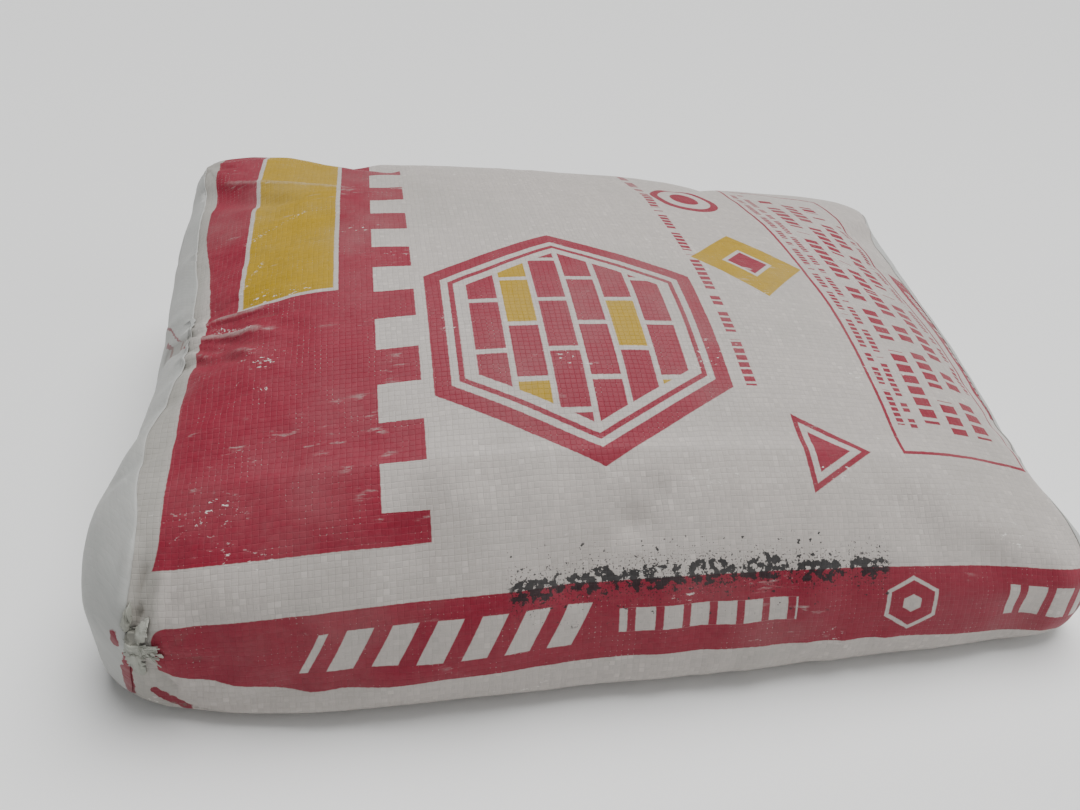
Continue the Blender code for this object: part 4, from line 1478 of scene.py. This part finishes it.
def group_of_lines(name, lines, breaks):
    """1 where the distance to a line, less the line's half width, is below 0. Noise may break it up."""
    tree, given, wanted = new_group(name, {"Place": (0.0, 0.0, 0.0)}, ("Mark",))
    rough = times(tree, minus(tree, cloudy(tree, given["Place"], 300.0), 0.5), 0.003)
    marks = []
    for start, end, half_width in lines:
        way = np.array(end) - np.array(start)
        away = vectors(tree, "SUBTRACT", given["Place"], start)
        along = vectors(tree, "DOT_PRODUCT", away, tuple(way / (way @ way)))
        along = math(tree, "MINIMUM", math(tree, "MAXIMUM", along, 0.0), 1.0)
        nearest = vectors(tree, "SCALE", tuple(way), along)
        distance = vectors(tree, "LENGTH", vectors(tree, "SUBTRACT", away, nearest))
        marks.append(minus(tree, distance, half_width))
    mark = rise(tree, plus(tree, either(tree, *marks), rough), 0.0003, -0.0003)
    if breaks:
        grains = cloudy(tree, given["Place"], 700.0, 2.0, 0.7)
        mark = times(tree, mark, rise(tree, grains, *breaks))
    feed(tree, mark, wanted["Mark"])
    return tree


slivers = group_of_lines("folded_print", SLIVERS, None)
shade_and_smudges = group_of_lines("shade_and_smudges", SHADE_AND_SMUDGES, (0.35, 0.65))
scratches = group_of_lines("scratches", SCRATCHES, (0.53, 0.68))
print("line groups:", [group.name for group in (slivers, shade_and_smudges, scratches)])

# %% [markdown]
# Last, the steps are put together in one recipe that the sack, its patches and the valve share. Stains,
# dust, painted shade and dirt in the grooves, and dark specks lie on top. The weave's height feeds a bump,
# and dust makes the slightly shiny film dull.

# %% The materials of cloth
VALVE_GREIGE = (0.33, 0.335, 0.29)
# The ridge share is worn ink and a painted highlight; the groove share is painted shade and dirt.
STAINED, SPECKLED, RIDGE_WEAR_AND_HIGHLIGHT, GROOVE_SHADE_SHARE = 0.36, 0.55, 0.42, 0.5
SHINE, SHEEN, WEAVE_DEPTH, WEAVE_SHOWS = 0.22, 0.03, 0.00025, 0.45
PLACED_MARKS = ((slivers, RED_INK, 1.0), (shade_and_smudges, GROOVE_SHADE_AND_DIRT, 0.6), (scratches, SCUFF, 0.75))


def cloth_material(name, bare, ink, dustiness, woven=1.0, mapped=True):
    """Woven plastic cloth, bare or printed. The numbers say how dusty it is and how much weave shows."""
    made, tree, shader = new_material(name)
    in_space = tree.nodes.new("ShaderNodeTexCoord").outputs["Object"]
    place = sheet_place(tree) if mapped else in_space
    tapes = use_group(tree, weave, Place=place)
    worn = use_group(tree, wear, Place=place)
    crease = kept_value(tree, "crease")["Fac"]
    # Where fold ridges rise, ink is taken off: wear, and a painted highlight along the ridges.
    ridges = rise(tree, plus(tree, crease, times(tree, worn["Dust"], 0.6)), 0.7, 2.0, RIDGE_WEAR_AND_HIGHLIGHT)
    # Grooves of the folds are darkened with painted shade and dirt.
    grooves = rise(tree, crease, -0.6, -3.0, GROOVE_SHADE_SHARE)
    colour, mottle = bare_cloth(tree, place, tapes, bare, woven)
    soiled = 1.0
    if ink:
        colour, soiled = inked_cloth(tree, place, tapes, worn, ridges, mottle, colour)
    smooth_place = kept_value(tree, "smooth_place")["Vector"]
    for group, tint, share in PLACED_MARKS:
        marks = use_group(tree, group, Place=smooth_place)
        colour = blend_colours(tree, times(tree, marks["Mark"], share), colour, tint)
    stains = times(tree, times(tree, worn["Stain"], STAINED), soiled)
    colour = blend_colours(tree, stains, colour, STAIN)
    dust = times(tree, worn["Dust"], dustiness)
    colour = blend_colours(tree, times(tree, dust, soiled), colour, DUST)
    # Painted shade and dirt go into the grooves.
    colour = blend_colours(tree, grooves, colour, GROOVE_SHADE_AND_DIRT)
    colour = blend_colours(tree, times(tree, worn["Specks"], SPECKLED), colour, DIRT)
    feed(tree, colour, shader.inputs["Base Color"])
    feed(tree, math(tree, "MULTIPLY_ADD", dust, 0.5, 0.5), shader.inputs["Roughness"])
    shader.inputs["Specular IOR Level"].default_value = SHINE
    shader.inputs["Sheen Weight"].default_value = SHEEN
    bumped(tree, shader, tapes["Height"], WEAVE_DEPTH, WEAVE_SHOWS * woven)
    return made


sack_cloth = cloth_material("printed_cloth", GREIGE, True, 0.12)
patch_cloth = cloth_material("patch_cloth", PALE_GREIGE, False, 0.35, woven=0.4)
valve_cloth = cloth_material("valve_cloth", VALVE_GREIGE, False, 0.2, mapped=False)
print("cloth materials:", [made.name for made in (sack_cloth, patch_cloth, valve_cloth)])

# %% [markdown]
# ## The cement itself
# The powder shows only through gaps, and even there it should look like powder: grey, dull and grainy.

# %% The cement itself
DARK_POWDER, PALE_POWDER, POWDER_GRAIN = (0.24, 0.235, 0.23), (0.46, 0.45, 0.43), 0.0006
powder, tree, shader = new_material("grey_powder")
where = tree.nodes.new("ShaderNodeTexCoord").outputs["Object"]
grain = cloudy(tree, where, 900.0, 6.0, 0.7)
feed(tree, blend_colours(tree, grain, DARK_POWDER, PALE_POWDER), shader.inputs["Base Color"])
shader.inputs["Roughness"].default_value = 0.95
bumped(tree, shader, grain, POWDER_GRAIN)
print("cement's material:", powder.name)

# %% [markdown]
# ## Joining the frame
# Each finished piece gets its material, rides on the bag's one body and hides the plain solid that it stands
# for.

# %% Joining the frame
STANDS_FOR = (
    (skin, sack_cloth, ("woven_sack",), "woven_fabric"),
    (cement, powder, ("cement_fill",), "cement"),
    (head_patch, patch_cloth, ("head_cover_patch",), "cover_film"),
    (foot_patch, patch_cloth, ("foot_cover_patch",), "cover_film"),
    (mouth, valve_cloth, ("valve_sleeve",), "valve_film"),
)
for piece, material, nodes, finish in STANDS_FOR:
    piece.data.materials.append(material)
    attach(piece, "root")
    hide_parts(*nodes)
print("pieces:", [piece.name for piece, *_ in STANDS_FOR])

# %% [markdown]
# ## The floor's paint
# The floor is plain and pale, so that nothing draws the eye from the bag, and dull, so that it mirrors
# nothing.

# %% The floor's paint
paint, _, shader = new_material("floor_paint")
shader.inputs["Base Color"].default_value = (0.90, 0.90, 0.89, 1.0)
shader.inputs["Roughness"].default_value = 0.6
floor.data.materials.append(paint)
print("floor:", paint.name)
